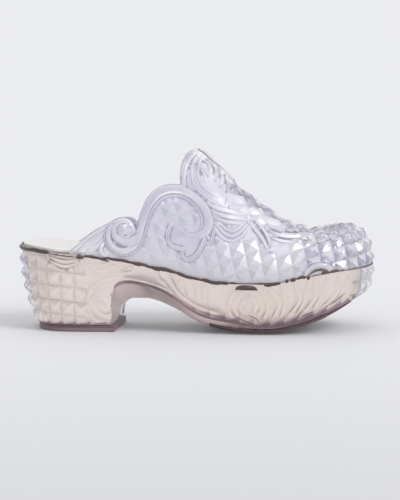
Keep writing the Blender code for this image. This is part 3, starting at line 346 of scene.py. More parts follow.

# Tones from 0, the darkest groove, to 1; low tones are painted shade in grooves and valleys, high ones
# painted highlight on crests
GROOVE_TONE, STUD_TONE, PLAIN_TONE, CREST_TONE = 0.03, 0.52, 0.60, 0.85
# Valley tones are painted shade in the studs' valleys; the spine's crest tone puts painted shade on its
# crests too
HEEL_VALLEY_TONE, TOE_VALLEY_TONE, SPINE_VALLEY_TONE, SPINE_CREST_TONE = 0.32, 0.22, 0.05, 0.45
# Belly, lip, soft, band and spine tones are painted shade: under the sole, on the free edge, off soft swells,
# over the bottom edge and along the spine
BELLY_TONE, LIP_TONE, SOFT_TONE, BAND_TONE, SPINE_TONE = 0.20, 0.08, 0.13, 0.08, 0.12

# Studs of the toe and spine, darkened with painted shade: how their heights vary, and from which share they
# turn glassy
STUD_JITTER, GLASS_FROM, GLASS_SPREAD = 0.2, 0.1, 0.8

# Slots of the upper's materials; the shaded facet slot is painted shade on facets that face back or down
CLEAR_SLOT, LINING_SLOT, GLASS_SLOT, SHADED_FACET_SLOT = 0, 1, 2, 3

# Part of the heel's breast that is clear: low and high corner
BREAST_CLEAR_LOW, BREAST_CLEAR_HIGH = (-60.0, 3.0, 7.0), (-46.0, 40.0, 26.0)

# Colours at tones
CLEAR_TONES = (
    (0.0, (0.26, 0.245, 0.34)), (0.25, (0.80, 0.785, 0.885)), (0.5, (0.95, 0.945, 0.985)),
    (0.9, (1.0, 1.0, 1.0)),
)
# Darker colours for facets that face back or down: painted shade
SHADED_FACET_TONES = (
    (0.0, (0.18, 0.17, 0.23)), (0.25, (0.50, 0.48, 0.58)), (0.5, (0.71, 0.695, 0.78)),
    (0.9, (0.85, 0.845, 0.91)),
)
GLASS_TONES = (
    (0.0, (0.20, 0.19, 0.27)), (0.25, (0.76, 0.745, 0.83)), (0.5, (0.96, 0.955, 0.985)),
    (0.9, (1.0, 1.0, 1.0)),
)
SOLE_TONES = (
    (0.0, (0.17, 0.115, 0.155)), (0.22, (0.53, 0.42, 0.45)), (0.40, (0.84, 0.76, 0.70)),
    (0.6, (0.93, 0.885, 0.85)), (0.9, (0.975, 0.965, 0.945)),
)
LILAC_DEPTH, ROSY_DEPTH = (0.86, 0.85, 0.95), (0.80, 0.60, 0.48)

# Clear plastics: tones, roughness, transmission, density and colour of the depth, waviness, coat
PLASTICS = {
    "clear upper": (CLEAR_TONES, 0.25, 0.70, 8.0, LILAC_DEPTH, 0.03, 0.1),
    "clear lining": (CLEAR_TONES, 0.15, 0.95, 8.0, LILAC_DEPTH, 0.03, 0.0),
    "clear toe": (GLASS_TONES, 0.09, 0.72, 8.0, LILAC_DEPTH, 0.03, 0.35),
    # The toe's facets that face back or down take this darker plastic: painted shade
    "toe shaded facets": (SHADED_FACET_TONES, 0.07, 0.78, 8.0, LILAC_DEPTH, 0.03, 0.35),
    "tinted sole": (SOLE_TONES, 0.31, 0.87, 4.5, ROSY_DEPTH, 0.12, 0.4),
}
REFRACTION, COAT_ROUGHNESS = 1.42, 0.05
WAVES_SCALE, WAVES_DETAIL, WAVES_ROUGHNESS, WAVES_HEIGHT = 90.0, 3.0, 0.5, 0.0006

# Opaque materials: colour, roughness, scale of the grain, how far the colour wanders, strength of the grain
OPAQUES = {
    "cream insole": ((0.54, 0.53, 0.515), 0.65, 700.0, 0.04, 0.25),
    "mauve tread": ((0.20, 0.135, 0.135), 0.45, 300.0, 0.25, 0.3),
    "dark tread": ((0.10, 0.062, 0.072), 0.45, 300.0, 0.3, 0.3),
    # The top band of the heel lift: painted shade in the gap under the sole
    "lift painted shade": ((0.13, 0.085, 0.11), 0.4, 300.0, 0.3, 0.3),
    "joint brown": ((0.070, 0.048, 0.043), 0.4, 400.0, 0.3, 0.3),
}
GRAIN_DETAIL, GRAIN_ROUGHNESS, GRAIN_HEIGHT = 5.0, 0.6, 0.0004

# Pieces: slot, the nodes that they replace, and materials in the order of their slots
PIECES = {
    # The upper's fourth material is painted shade on facets that face back or down
    "upper_shell": ("clear_upper", ("upper",), ("clear upper", "clear lining", "clear toe", "toe shaded facets")),
    "sole_body": ("tinted_sole", ("sole",), ("tinted sole", "clear toe")),
    "insole_bed": ("insole", ("insole",), ("cream insole",)),
    "outsole_tread": ("tread", ("outsole",), ("dark tread",)),
    # The lift's second material is painted shade where it meets the sole
    "lift_block": ("tread", ("heel_lift",), ("mauve tread", "lift painted shade")),
    "joint_line": ("tread", (), ("joint brown",)),
}

# Stage in metres: a floor with painted light that pales it away from the camera, the studio's light by
# direction, two suns
FLOOR_HALF, FLOOR_Z, FLOOR_ROUGHNESS, FLOOR_SPECULAR = 40.0, -0.0002, 0.7, 0.1
FLOOR_NEAR_Y, FLOOR_FAR_Y = -0.75, -0.05
# Floor colours near and far: painted light
FLOOR_PAINTED_LIGHT_TONES = ((0.0, (0.465, 0.47, 0.485)), (1.0, (0.565, 0.57, 0.585)))
STUDIO_BRIGHT_SIDE, STUDIO_STRENGTH = (0.3, 0.4, 0.87), 1.0
STUDIO_TONES = ((0.0, (0.50, 0.50, 0.58)), (0.5, (0.94, 0.94, 0.98)), (1.0, (1.0, 1.0, 1.0)))
MOST_BOUNCES, CLEAR_BOUNCES, SEE_THROUGH_BOUNCES = 32, 28, 16

# Suns: where from, width in degrees, strength, whether it casts shadows
SUNS = {
    "key": ((0.85, -0.65, 0.8), 30.0, 1.95, True),
    "glow": ((0.85, -0.65, 0.8), 30.0, 0.62, False),
}

# Camera: degrees about and above the shoe, and metres
CAMERA_AZIMUTH, CAMERA_ELEVATION, CAMERA_DISTANCE = 2.5, 6.4, 1.9
CAMERA_TARGET = (0.002, 0.0, 0.056)
PICTURE_HEIGHT = 0.36085
SENSOR = 36.0


# Helpers

def mix(low, high, t):
    return low + (high - low) * t


def fade(x, start, run):
    """0 up to start, then rising evenly to 1 over a run."""
    return np.clip((x - start) / run, 0, 1)


def ease(t):
    """0 to 1 with level ends."""
    return t ** 2 * (3 - 2 * t)


def unit(vectors):
    return vectors / np.maximum(np.linalg.norm(vectors, axis=1, keepdims=True), SMALL)


def hermite(low, high, slope_low, slope_high, run, t):
    """A cubic between two values with given slopes, at share t of the run between them."""
    left = low * (1 + 2 * t) * (1 - t) ** 2 + slope_low * run * t * (1 - t) ** 2
    right = high * t ** 2 * (3 - 2 * t) + slope_high * run * t ** 2 * (t - 1)
    return left + right


def smooth(rows, columns, name):
    """A function of x through one column of a table, with no overshoot between rows."""
    xs = np.array([row[0] for row in rows])
    ys = np.array([row[columns.index(name)] for row in rows])
    chord = np.diff(ys) / np.diff(xs)
    before, after = chord[:-1], chord[1:]
    with np.errstate(divide="ignore", invalid="ignore"):
        mean = np.where(before * after > 0, 2 * before * after / (before + after), 0.0)
    slope = np.concatenate(([chord[0]], mean, [chord[-1]]))

    def value(x):
        x = np.clip(x, xs[0], xs[-1])
        i = np.clip(np.searchsorted(xs, x) - 1, 0, len(xs) - 2)
        run = xs[i + 1] - xs[i]
        return hermite(ys[i], ys[i + 1], slope[i], slope[i + 1], run, (x - xs[i]) / run)

    return value


def resample(points, step):
    """A smooth line through points, with points about step apart."""
    p = np.asarray(points, float)
    t = np.concatenate(([0.0], np.cumsum(np.linalg.norm(np.diff(p, axis=0), axis=1))))
    slope = np.gradient(p, t, axis=0)
    fine = np.linspace(0, t[-1], max(2, int(round(t[-1] / step)) + 1))
    i = np.clip(np.searchsorted(t, fine) - 1, 0, len(t) - 2)
    run = (t[i + 1] - t[i])[:, None]
    return hermite(p[i], p[i + 1], slope[i], slope[i + 1], run, (fine - t[i])[:, None] / run)


SHAPE_AT = {name: smooth(SHAPE, SHAPE_COLUMNS, name) for name in SHAPE_COLUMNS[1:]}
BELLY_AT = {name: smooth(BELLY, BELLY_COLUMNS, name) for name in BELLY_COLUMNS[1:]}
JOINT_AT = {name: smooth(JOINT, JOINT_COLUMNS, name) for name in JOINT_COLUMNS[1:]}


# Plan outline at the rim, walked from the toe back to the heel

def end_caps(x):
    back = np.clip(1 - (x - BACK_X) / HEEL_ROUND, 0, 1)
    front = np.clip(1 - (TOE_X - x) / TOE_ROUND, 0, 1)
    return (1 - back ** HEEL_SQUARE) ** (1 / HEEL_SQUARE) * (1 - front ** TOE_SQUARE) ** (1 / TOE_SQUARE)


def rim_y(x, side):
    width = SHAPE_AT["outer"](x) if side == OUTER else SHAPE_AT["inner"](x)
    return SHAPE_AT["axis"](x) + side * width * end_caps(x)


def turn_x(turn):
    return (TOE_X + BACK_X) / 2 + (TOE_X - BACK_X) / 2 * np.cos(turn)


TURN = np.linspace(0, math.pi, WALK_STEPS)
WALK_X = turn_x(TURN)


def walk_length(side):
    step = np.hypot(np.diff(WALK_X), np.diff(rim_y(WALK_X, side)))
    return np.concatenate(([0.0], np.cumsum(step)))


WALK_S = (walk_length(OUTER) + walk_length(INNER)) / 2
RIM_LENGTH = WALK_S[-1]
HEEL_EDGE = RIM_LENGTH - HEEL_STUD_SPAN


def rim_x(s):
    return turn_x(np.interp(s, WALK_S, TURN))


def walk_to(x):
    return np.interp(-np.asarray(x, float), -WALK_X, WALK_S)


def rim_frame(s, side):
    """Rim points and the unit plan normals that point out of the shoe."""
    s = np.clip(s, 0, RIM_LENGTH)
    x = rim_x(s)
    ahead = rim_x(np.clip(s - TANGENT_STEP, 0, None))
    behind = rim_x(np.clip(s + TANGENT_STEP, None, RIM_LENGTH))
    tangent = unit(np.stack((ahead - behind, rim_y(ahead, side) - rim_y(behind, side)), axis=1))
    normal = -side * np.stack((tangent[:, 1], -tangent[:, 0]), axis=1)
    tip = fade(np.minimum(s, RIM_LENGTH - s), 0, TIP_RUN)[:, None]
    end = np.stack((np.where(s < RIM_LENGTH / 2, 1.0, -1.0), np.zeros_like(s)), axis=1)
    return np.stack((x, rim_y(x, side)), axis=1), unit(end * (1 - tip) + normal * tip)


def rim_lip(s):
    """How far the rim stands out over the heel's studs."""
    return HEEL_RIM_LIP * fade(s, HEEL_EDGE, RIM_LIP_RUN)


# The upper: a station at every place along the rim, rising from the rim to the spine

THETA = (1 - np.cos(np.linspace(0, math.pi, STATION_STEPS))) * math.pi / 4


def spine_x(s):
    x = rim_x(s)
    return x - (TOE_X - SPINE_END_X) * fade(x, FAN_X, TOE_X - FAN_X) ** 2


def stations(s, side):
    """Rim and spine places, low and high ends, and shapes and running lengths of the stations at s."""
    rim, normal = rim_frame(s, side)
    rim = rim - normal * RIM_INSET
    x, over = rim_x(s), spine_x(s)
    spine = np.stack((over, SHAPE_AT["axis"](over)), axis=1)
    low, high = SHAPE_AT["rim"](x) + GAP, SHAPE_AT["spine"](over)
    power = 2 / SHAPE_AT["round"](x)[:, None]
    across, rise = 1 - np.cos(THETA) ** power, np.sin(THETA) ** power
    reach = np.linalg.norm(spine - rim, axis=1)[:, None]
    length = np.hypot(np.diff(across) * reach, np.diff(rise) * (high - low)[:, None])
    length = np.concatenate((np.zeros((len(s), 1)), np.cumsum(length, axis=1)), axis=1)
    return rim, spine, low, high, across, rise, length


def girth(s):
    """Mean length of the two stations at s, from the rim to the spine."""
    s = np.atleast_1d(np.asarray(s, float))
    return (stations(s, OUTER)[-1][:, -1] + stations(s, INNER)[-1][:, -1]) / 2


def along_rows(known, values, wanted):
    """Each row's value at the place wanted, between the rising places known."""
    i = np.clip((known <= wanted[:, None]).sum(axis=1) - 1, 0, known.shape[1] - 2)
    row = np.arange(len(i))
    low, high = known[row, i], known[row, i + 1]
    t = fade(wanted, low, np.maximum(high - low, SMALL))
    return values[row, i] * (1 - t) + values[row, i + 1] * t


def upper_point(s, v, side):
    """Points of the upper's base surface at walk s and share v of the way up the station."""
    rim, spine, low, high, across, rise, length = stations(s, side)
    if side == INNER:
        behind = np.clip((PEAK_X - rim_x(s)) / COLLAR_DROP_RUN, 0, 1)
        risen = fade(v * length[:, -1], 0, COLLAR_DROP_RISE)
        v = v - INNER_COLLAR_DROP / length[:, -1] * behind * risen
    share = length / length[:, -1:]
    plan = mix(rim, spine, along_rows(share, across, v)[:, None])
    return np.column_stack((plan, mix(low, high, along_rows(share, rise, v))))


def upper_spot(x, z):
    """Place on the unrolled upper of a side view x and z."""
    s = walk_to(np.atleast_1d(np.asarray(x, float)))
    rim, spine, low, high, across, rise, length = stations(s, OUTER)
    share = fade(np.atleast_1d(z), low, high - low)
    return np.column_stack((s, along_rows(rise, length / length[:, -1:], share) * girth(s)))


def upper_half(places, side):
    """Points of a half of the upper, their normals, and how far its stations spread there."""
    s = places[:, 0]
    v = fade(places[:, 1], 0, girth(s))
    after, before = np.clip(s + NORMAL_STEP, 0, RIM_LENGTH), np.clip(s - NORMAL_STEP, 0, RIM_LENGTH)
    higher, lower = np.clip(v + NORMAL_SHARE, 0, 1), np.clip(v - NORMAL_SHARE, 0, 1)
    along = upper_point(after, v, side) - upper_point(before, v, side)
    up = upper_point(s, higher, side) - upper_point(s, lower, side)
    spread = np.linalg.norm(along, axis=1) / (2 * NORMAL_STEP)
    return upper_point(s, v, side), unit(np.cross(along, up) * side), spread


# The sole's side: rim down to the belly's edge, leaning in as it goes down

def sole_point(s, q, side):
    rim, normal = rim_frame(s, side)
    x = rim_x(s)
    top = SHAPE_AT["rim"](x)
    lean = SHAPE_AT["lean"](x) * (q / top) ** 2
    plan = rim - normal * lean[:, None]
    if side == INNER:
        near = np.clip(1 - ((x - LIFT_FRONT) / BREAST_SKEW_REACH) ** 2, 0, 1) ** 2
        down = np.sin(BREAST_SKEW_TURN * math.pi * fade(q, 0, top) ** BREAST_SKEW_POWER)
        plan[:, 0] += INNER_BREAST_SKEW * near * down
    return np.column_stack((plan, top - q))


def sole_depth(s):
    """Depth of the sole's side at s, where the wall meets the belly's edge."""
    top = SHAPE_AT["rim"](rim_x(s))
    q = top - BELLY_AT["edge"](rim_x(s))
    for _ in range(SETTLE_ROUNDS):
        here = (sole_point(s, q, OUTER)[:, 0] + sole_point(s, q, INNER)[:, 0]) / 2
        q = 0.5 * q + 0.5 * (top - BELLY_AT["edge"](here))
    return q


RIM_STEPS = np.linspace(0, RIM_LENGTH, DEPTH_STEPS)
DEPTHS = sole_depth(RIM_STEPS)


def ring_depth(s):
    """Depth of the sole's side at s, from a table worked out once."""
    return np.interp(s, RIM_STEPS, DEPTHS)


def sole_spot(x, z):
    """Place on the unrolled side of the sole of a side view x and z."""
    s = walk_to(np.atleast_1d(np.asarray(x, float)))
    return np.column_stack((s, SHAPE_AT["rim"](rim_x(s)) - np.atleast_1d(z)))


# Profiles across a band

def hump(t, centre=0.0, half=1.0):
    """A flat topped rib with rounded shoulders."""
    return np.sqrt(np.clip(1 - np.abs((t - centre) / half) ** HUMP_POWER, 0, 1))


def edged(t):
    """A broad roll with two thin ribs beside it."""
    return np.maximum.reduce([height * hump(t, centre, half) for centre, half, height in EDGED_RIBS])


def double(t):
    """Two ribs side by side."""
    return hump(np.abs(t), DOUBLE_CENTRE, DOUBLE_HALF)


def swell(t):
    """A low wave."""
    return np.cos(t * math.pi / 2) ** 2


def keel(t):
    """A sharp ridge."""
    return (1 - np.abs(t)) ** KEEL_POWER


def cut(t):
    """A flat bottomed groove."""
    return -np.clip(CUT_SLOPE - CUT_SLOPE * np.abs(t), 0, 1)


# Each profile: its form, how dark the painted shade lines at its edges are and how wide, and the shares
# across that get a line
PROFILES = {
    "round": (hump, 1.0, 0.55, (-1.0, -0.93, -0.74, -0.4, 0.0, 0.4, 0.74, 0.93, 1.0)),
    "faint": (hump, 0.7, 0.5, (-1.0, -0.8, -0.4, 0.0, 0.4, 0.8, 1.0)),
    "bold": (hump, 1.0, 0.9, (-1.0, -0.8, -0.5, 0.0, 0.5, 0.8, 1.0)),
    "edged": (edged, 0.85, 0.6, (
        -1.0, -0.96, -0.85, -0.62, -0.26, 0.06, 0.26, 0.36, 0.44, 0.52, 0.57, 0.66, 0.75, 0.8, 0.84, 0.88,
        0.94, 1.0)),
    "double": (double, 0.95, 0.5, (-1.0, -0.9, -0.55, -0.2, 0.0, 0.2, 0.55, 0.9, 1.0)),
    "soft": (swell, 1.0, 0.55, (-1.0, -0.66, -0.33, 0.0, 0.33, 0.66, 1.0)),
    "keel": (keel, 1.0, 0.55, (-1.0, -0.5, 0.0, 0.5, 1.0)),
    "cut": (cut, 1.0, 0.55, (-1.0, -0.4, 0.4, 1.0)),
}


class Band:
    """A raised band along a line of the unrolled wall."""

    def __init__(self, row, spot, step):
        law, start, end, self.height, self.profile, places = row[1:]
        places = np.array(places)
        self.line = resample(spot(places[:, 0], places[:, 1]), step)
        t = np.linspace(0, 1, len(self.line))
        self.half = mix(start, end, t)
        if law == "hook":
            self.half = mix(start, end, np.clip(t / HOOK_FROM, 0, 1))
            self.half *= 1 - HOOK_TAPER * fade(t, HOOK_FROM, 1 - HOOK_FROM) ** HOOK_POWER
        if law == "leaf":
            self.half = start * np.sin(math.pi * mix(LEAF_START, 1, t)) ** LEAF_POWER
            self.half = np.maximum(self.half, LEAF_LEAST)

    def offset(self, share):
        d = unit(np.gradient(self.line, axis=0))
        return self.line + np.column_stack((-d[:, 1], d[:, 0])) * (self.half * share)[:, None]

    def share(self, points):
        """Signed distance from the middle of the band, 1 or -1 at its edges."""
        best = np.full(len(points), FAR_SHARE)
        reach = self.half.max() * BAND_REACH
        low, high = self.line.min(axis=0) - reach, self.line.max(axis=0) + reach
        near = np.flatnonzero(((points > low) & (points < high)).all(axis=1))
        p = points[near]
        found = best[near]
        for a, b, half in zip(self.line[:-1], self.line[1:], self.half):
            d = b - a
            t = np.clip((p - a) @ d / (d @ d), 0, 1)
            away = p - a - t[:, None] * d
            side = np.where(away @ np.array((-d[1], d[0])) < 0, -1.0, 1.0)
            here = np.linalg.norm(away, axis=1) / half
            found = np.where(here < np.abs(found), here * side, found)
        best[near] = found
        return best


# Lines of points on an unrolled wall, and the triangles between them

def inside(ring, points):
    hit = np.zeros(len(points), bool)
    for a, b in zip(ring, np.roll(ring, -1, axis=0)):
        crosses = (a[1] > points[:, 1]) != (b[1] > points[:, 1])
        if crosses.any():
            at = a[0] + (points[:, 1] - a[1]) / (b[1] - a[1]) * (b[0] - a[0])
            hit ^= crosses & (points[:, 0] < at)
    return hit


def clear_of(ring, points):
    """Distance of points from a closed ring."""
    best = np.full(len(points), FAR)
    for a, b in zip(ring, np.roll(ring, -1, axis=0)):
        d = b - a
        t = np.clip((points - a) @ d / np.maximum(d @ d, SMALL), 0, 1)
        best = np.minimum(best, np.linalg.norm(points - a - t[:, None] * d, axis=1))
    return best


def free(ring, bands, points, margin, apart):
    """Which points lie inside the ring, clear of it and off the bands."""
    ok = inside(ring, points) & (clear_of(ring, points) > margin)
    for band in bands:
        ok &= np.abs(band.share(points)) > apart
    return ok


def triangulate(ring, lines):
    """Fill a ring with triangles that keep every edge of the lines; ring points come first."""
    points = [Vector(p) for p in ring]
    edges = [(i, (i + 1) % len(ring)) for i in range(len(ring))]
    for line_points, line_edges in lines:
        edges += [(int(a) + len(points), int(b) + len(points)) for a, b in line_edges]
        points += [Vector(p) for p in line_points]
    found, _, faces, _, _, _ = delaunay_2d_cdt(points, edges, [], 0, CDT_EPSILON)
    found = np.array([tuple(p) for p in found])
    faces = np.array(faces)
    return found, faces[inside(ring, found[faces].mean(axis=1))]


def kept_runs(line, ok):
    """The kept points of a line and the edges between kept neighbours."""
    index = np.cumsum(ok) - 1
    pair = np.flatnonzero(ok[:-1] & ok[1:])
    return line[ok], np.column_stack((index[pair], index[pair + 1]))


def band_lines(ring, bands):
    """The lines along every band that lie inside the ring and under no band above."""
    lines = []
    for level, band in enumerate(bands):
        for share in PROFILES[band.profile][-1]:
            line = band.offset(share)
            lines.append(kept_runs(line, free(ring, bands[:level], line, BAND_CLEAR, LINE_APART)))
    return lines


def lattice_lines(ring, bands, place, columns, rows, margin, weight):
    """Valleys and ridges of a stud lattice, inside the ring, off the bands and where weight lets studs be."""
    parts = np.linspace(0, 1, LATTICE_PARTS)[:, None]
    lines = []
    for i in range(0, 2 * columns + 1, 2):
        for j in range(0, 2 * rows + 1, 2):
            for di, dj in LATTICE_ARMS:
                lines.append(np.array((i, j)) / 2 * (1 - parts) + np.array((i + di, j + dj)) / 2 * parts)
    spots = place(np.concatenate(lines))
    ok = free(ring, bands, spots, margin, LATTICE_APART) & (weight(spots) > STUD_LEAST)
    keys, index = np.unique(np.round(spots, DIGITS), axis=0, return_inverse=True)
    index = index.reshape(-1, len(parts))
    ok = ok.reshape(-1, len(parts))
    edges = [(row[k], row[k + 1]) for row, good in zip(index, ok) for k in range(len(parts) - 1)
             if good[k] and good[k + 1] and row[k] != row[k + 1]]
    used = np.unique(np.array(edges))
    place_in_used = np.full(len(keys), -1)
    place_in_used[used] = np.arange(len(used))
    return keys[used], [(place_in_used[a], place_in_used[b]) for a, b in edges]


def fill_grid(ring, bands, step, margin, weight=None):
    """Points on a plain grid where there are neither studs nor bands."""
    low, high = ring.min(axis=0), ring.max(axis=0)
    grid = np.stack(np.meshgrid(np.arange(low[0], high[0], step), np.arange(low[1], high[1], step)), -1)
    grid[::2, :, 0] += step / 2
    grid = grid.reshape(-1, 2)
    ok = free(ring, bands, grid, margin, GRID_APART)
    if weight is not None:
        ok &= weight(grid) <= STUD_LEAST
    return grid[ok], []


# Studs: rows rise toward the toe on the upper and run level on the sole

def upper_lattice(places):
    s, q = places.T
    return np.stack(((s - LATTICE_SPREAD * s * q) / STUD, (q + LATTICE_RISE * s ** 2) / STUD))


def upper_lattice_place(nodes):
    a, b = nodes[:, 0] * STUD, nodes[:, 1] * STUD
    s, q = a.copy(), b.copy()
    for _ in range(LATTICE_ROUNDS):
        q = b - LATTICE_RISE * s ** 2
        s = 0.5 * s + 0.5 * (a + LATTICE_SPREAD * s * q)
    return np.column_stack((s, q))


def heel_lattice(places):
    return (RIM_LENGTH - places[:, 0]) / HEEL_COLUMN, (places[:, 1] - HEEL_LIP) / HEEL_ROW


def heel_lattice_place(nodes):
    return np.column_stack((RIM_LENGTH - nodes[:, 0] * HEEL_COLUMN, nodes[:, 1] * HEEL_ROW + HEEL_LIP))


def toe_lattice(places):
    return places[:, 0] / TOE_COLUMN, places[:, 1] / TOE_ROW


def toe_lattice_place(nodes):
    return np.column_stack((nodes[:, 0] * TOE_COLUMN, nodes[:, 1] * TOE_ROW))


def stud(a, b):
    """Height share of a square pyramid, 1 at the tip, 0 along the valleys."""
    return 1 - 2 * np.maximum(np.abs(a - np.floor(a) - 0.5), np.abs(b - np.floor(b) - 0.5))


def cushion(share):
    """Height share of a soft square cushion, from that of a pyramid."""
    return 1 - (1 - share) ** CUSHION_POWER


def chance(cell):
    """A steady number from 0 to 1 for each stud, from its column and row."""
    return np.abs(np.sin(cell[0] * CHANCE_COLUMN + cell[1] * CHANCE_ROW) * CHANCE_SCALE) % 1.0


def toe_share(x):
    """0 at the ball and 1 at the toe."""
    return ease(fade(x, TOE_FROM_X, TOE_TO_X - TOE_FROM_X))


def stud_tone(share, valley, crest=CREST_TONE):
    """Tone of a stud from its valleys to its tip: painted shade in the valleys, painted highlight toward the
    tip.
    """
    return mix(valley, crest, np.sqrt(np.clip(share, 0, 1)))


def relief(points, bands, plain, tones):
    """Heights and tones of the topmost band or of what is plain, and which points a band takes."""
    heights, tones, taken = plain.copy(), tones.copy(), np.zeros(len(points), bool)
    for band in bands:
        share = band.share(points)
        here = (np.abs(share) <= BAND_EDGE) & ~taken
        shape, line_shade, width, _ = PROFILES[band.profile]
        form = shape(np.clip(share[here], -1, 1))
        heights[here] = band.height * form
        # Painted shade in the lines at the band's edges, painted highlight on its crest
        groove = mix(PLAIN_TONE, GROOVE_TONE, line_shade)
        line = np.clip((1 - np.abs(share[here])) * band.half.mean() / width, 0, 1)
        tones[here] = mix(groove, CREST_TONE, np.minimum(np.sqrt(np.abs(form)), line))
        # Soft bands get painted shade off their crest, cut bands painted shade in their groove
        if band.profile == "soft":
            tones[here] = PLAIN_TONE - SOFT_TONE * (1 - form)
        if band.profile == "cut":
            tones[here] = PLAIN_TONE + (PLAIN_TONE - GROOVE_TONE) * form
        taken |= here
    return heights, tones, taken


# Meshes

def grid(rows, columns, first=0):
    """Point numbers of rows of points."""
    return first + np.arange(rows * columns).reshape(rows, columns)


def closed(index, axis):
    """Point numbers whose first row or column comes again at the end."""
    return np.concatenate((index, index.take([0], axis)), axis)


def sheet(index):
    """Faces between rows of point numbers."""
    return [face for low, high in zip(index[:-1], index[1:])
            for face in zip(low[:-1], low[1:], high[1:], high[:-1])]


def mesh_from(name, points, faces, sharp, tone=None, slots=None):
    """A closed smooth mesh in metres, with an optional tone from 0 in the valleys to 1 on the crests, which
    carries painted shade and painted highlight.
    """
    mesh = bpy.data.meshes.new(name)
    corners = [tuple(p) for p in np.asarray(points) * MM]
    mesh.from_pydata(corners, [], [tuple(int(i) for i in face) for face in faces])
    if tone is not None:
        mesh.attributes.new("tone", "FLOAT", "POINT").data.foreach_set("value", np.asarray(tone, np.float32))
    if slots is not None:
        mesh.polygons.foreach_set("material_index", slots)
    bm = bmesh.new()
    bm.from_mesh(mesh)
    bmesh.ops.remove_doubles(bm, verts=bm.verts, dist=MERGE)
    bmesh.ops.dissolve_degenerate(bm, edges=bm.edges, dist=DEGENERATE)
    bmesh.ops.recalc_face_normals(bm, faces=bm.faces)
    bm.to_mesh(mesh)
    bm.free()
    mesh.shade_smooth()
    mesh.set_sharp_from_angle(angle=math.radians(sharp))
    return mesh


# The upper

def upper_ring():
    """Outline of one half of the unrolled upper, with the point numbers of its rim, spine and free edge."""
    collar = np.array(COLLAR)
    collar = resample(upper_spot(collar[:, 0], collar[:, 1]), COLLAR_STEP)
    tail_s, peak_s = collar[0, 0], walk_to(PEAK_X)
    rim = np.column_stack((np.linspace(tail_s, 0, UPPER_RIM), np.zeros(UPPER_RIM)))
    risen = np.linspace(0, girth(0.0)[0], UPPER_TOE)[1:-1]
    toe = np.column_stack((np.zeros_like(risen), risen))
    walk = np.linspace(0, peak_s, SPINE_STEPS)
    over = spine_x(walk)
    picks = np.unique(np.searchsorted(-over, np.arange(-over[0], -over[-1], SPINE_STEP)))
    walk = np.append(walk[picks[picks < SPINE_STEPS - 2]], peak_s)
    spine = np.column_stack((walk, girth(walk)))
    ring = np.concatenate((rim, toe, spine, collar[::-1]))
    last = len(rim) + len(toe) + len(spine)
    edge = np.append(np.arange(last - 1, len(ring)), 0)
    return ring, {"rim": np.arange(UPPER_RIM), "shared": np.arange(UPPER_RIM - 1, last), "edge": edge}


def upper_weight(leaf):
    """A function of places: how strongly the studs show there."""
    smooth_places = [np.array(TONGUE_PLAIN), np.array(VOLUTE_PLAIN)]

    def weight(places):
        s, q = places.T
        x = rim_x(s)
        base, _, spread = upper_half(places, OUTER)
        share = fade(x, STUDS_FROM_X, STUDS_FADE_X) * fade(spread, 0, SPREAD_FULL)
        share *= mix(SCROLL_STUDS, 1, fade(x, SCROLL_STUDS_X, STUD))
        low = mix(STUDS_LOW, STUDS_LOW_TOE, toe_share(x))
        share *= mix(low, 1, fade(q, 0, STUDS_FADE_Q))
        for place in smooth_places:
            share[inside(place, np.column_stack((x, base[:, 2])))] = 0.0
        share[(q > FAN_STUDS_Q + FAN_STUDS_SLOPE * s) & (s < FAN_STUDS_S)] *= FAN_STUDS_SHARE
        share[inside(leaf, places)] = 0.0
        return share

    return weight


def upper_relief(places, runs, strength, bands, leaf):
    """Heights and tones of the upper's outside, with painted shade in valleys and grooves and painted
    highlight on crests, and how far it turns to the darker toe and spine.
    """
    s, q = places.T
    lattice = upper_lattice(places)
    over = fade(q / girth(s), SPINE_FROM, SPINE_FADE)
    toe = toe_share(rim_x(s))
    dark = np.maximum(toe, over)
    plain = stud(*lattice) * UPPER_STUD_HEIGHT * strength
    plain *= 1 - STUD_JITTER * dark * chance(np.floor(lattice))
    # Painted shade in the valleys, darker toward the toe and spine, and darker crests on the spine
    valley = np.minimum(mix(STUD_TONE, TOE_VALLEY_TONE, toe), mix(STUD_TONE, SPINE_VALLEY_TONE, over))
    crest = mix(CREST_TONE, SPINE_CREST_TONE, over)
    tones = np.where(strength > STUD_LEAST, stud_tone(plain / UPPER_STUD_HEIGHT, valley, crest), PLAIN_TONE)
    heights, tones, taken = relief(places, bands, plain, tones)
    level = inside(leaf, places) & ~taken
    heights[level], tones[level] = LEAF_HEIGHT, PLAIN_TONE
    heights[runs["rim"]] = heights[runs["edge"]] = 0.0
    # Painted shade along the spine, where the two halves meet
    tones[runs["shared"]] = np.minimum(tones[runs["shared"]], SPINE_TONE)
    return heights, tones, dark


def facet_slots(places, faces, strength, dark):
    """Slots outside: clear, or glassy toward the toe and spine, with darker facets that face back or down, a
    painted shade on the sides turned from the key light.
    """
    lattice = upper_lattice(places[faces].mean(axis=1))
    cell = np.floor(lattice)
    back, rise = lattice - cell - 0.5
    turned = np.where(np.abs(back) > np.abs(rise), back > 0, rise < 0)
    glass = dark[faces].mean(axis=1) > GLASS_FROM + GLASS_SPREAD * chance(cell)
    shaded_facet = glass & turned & (strength[faces].mean(axis=1) > STUD_LEAST)
    return np.where(shaded_facet, SHADED_FACET_SLOT, np.where(glass, GLASS_SLOT, CLEAR_SLOT))


def upper_layer(places, shared, offset):
    """Both halves of one face of the wall, offset along normals that agree where the halves meet."""
    halves = {side: upper_half(places, side) for side in SIDES}
    mean = unit(halves[OUTER][1][shared] + halves[INNER][1][shared])
    layer = {}
    for side, (base, normal, _) in halves.items():
        normal[shared] = mean
        layer[side] = base + normal * np.reshape(np.broadcast_to(offset, len(base)), (-1, 1))
    return layer


def lip_direction(ring, run, side):
    """Directions in the upper's surface that point away from it along its free edge."""
    along = unit(ring[(run + 1) % len(ring)] - ring[run - 1])
    out = np.column_stack((along[:, 1], -along[:, 0]))
    middle = ring[run]
    if inside(ring, middle + out * LIP_PROBE).mean() > 0.5:
        out = -out
    return unit(upper_half(middle + out * LIP_STEP, side)[0] - upper_half(middle - out * LIP_STEP, side)[0])


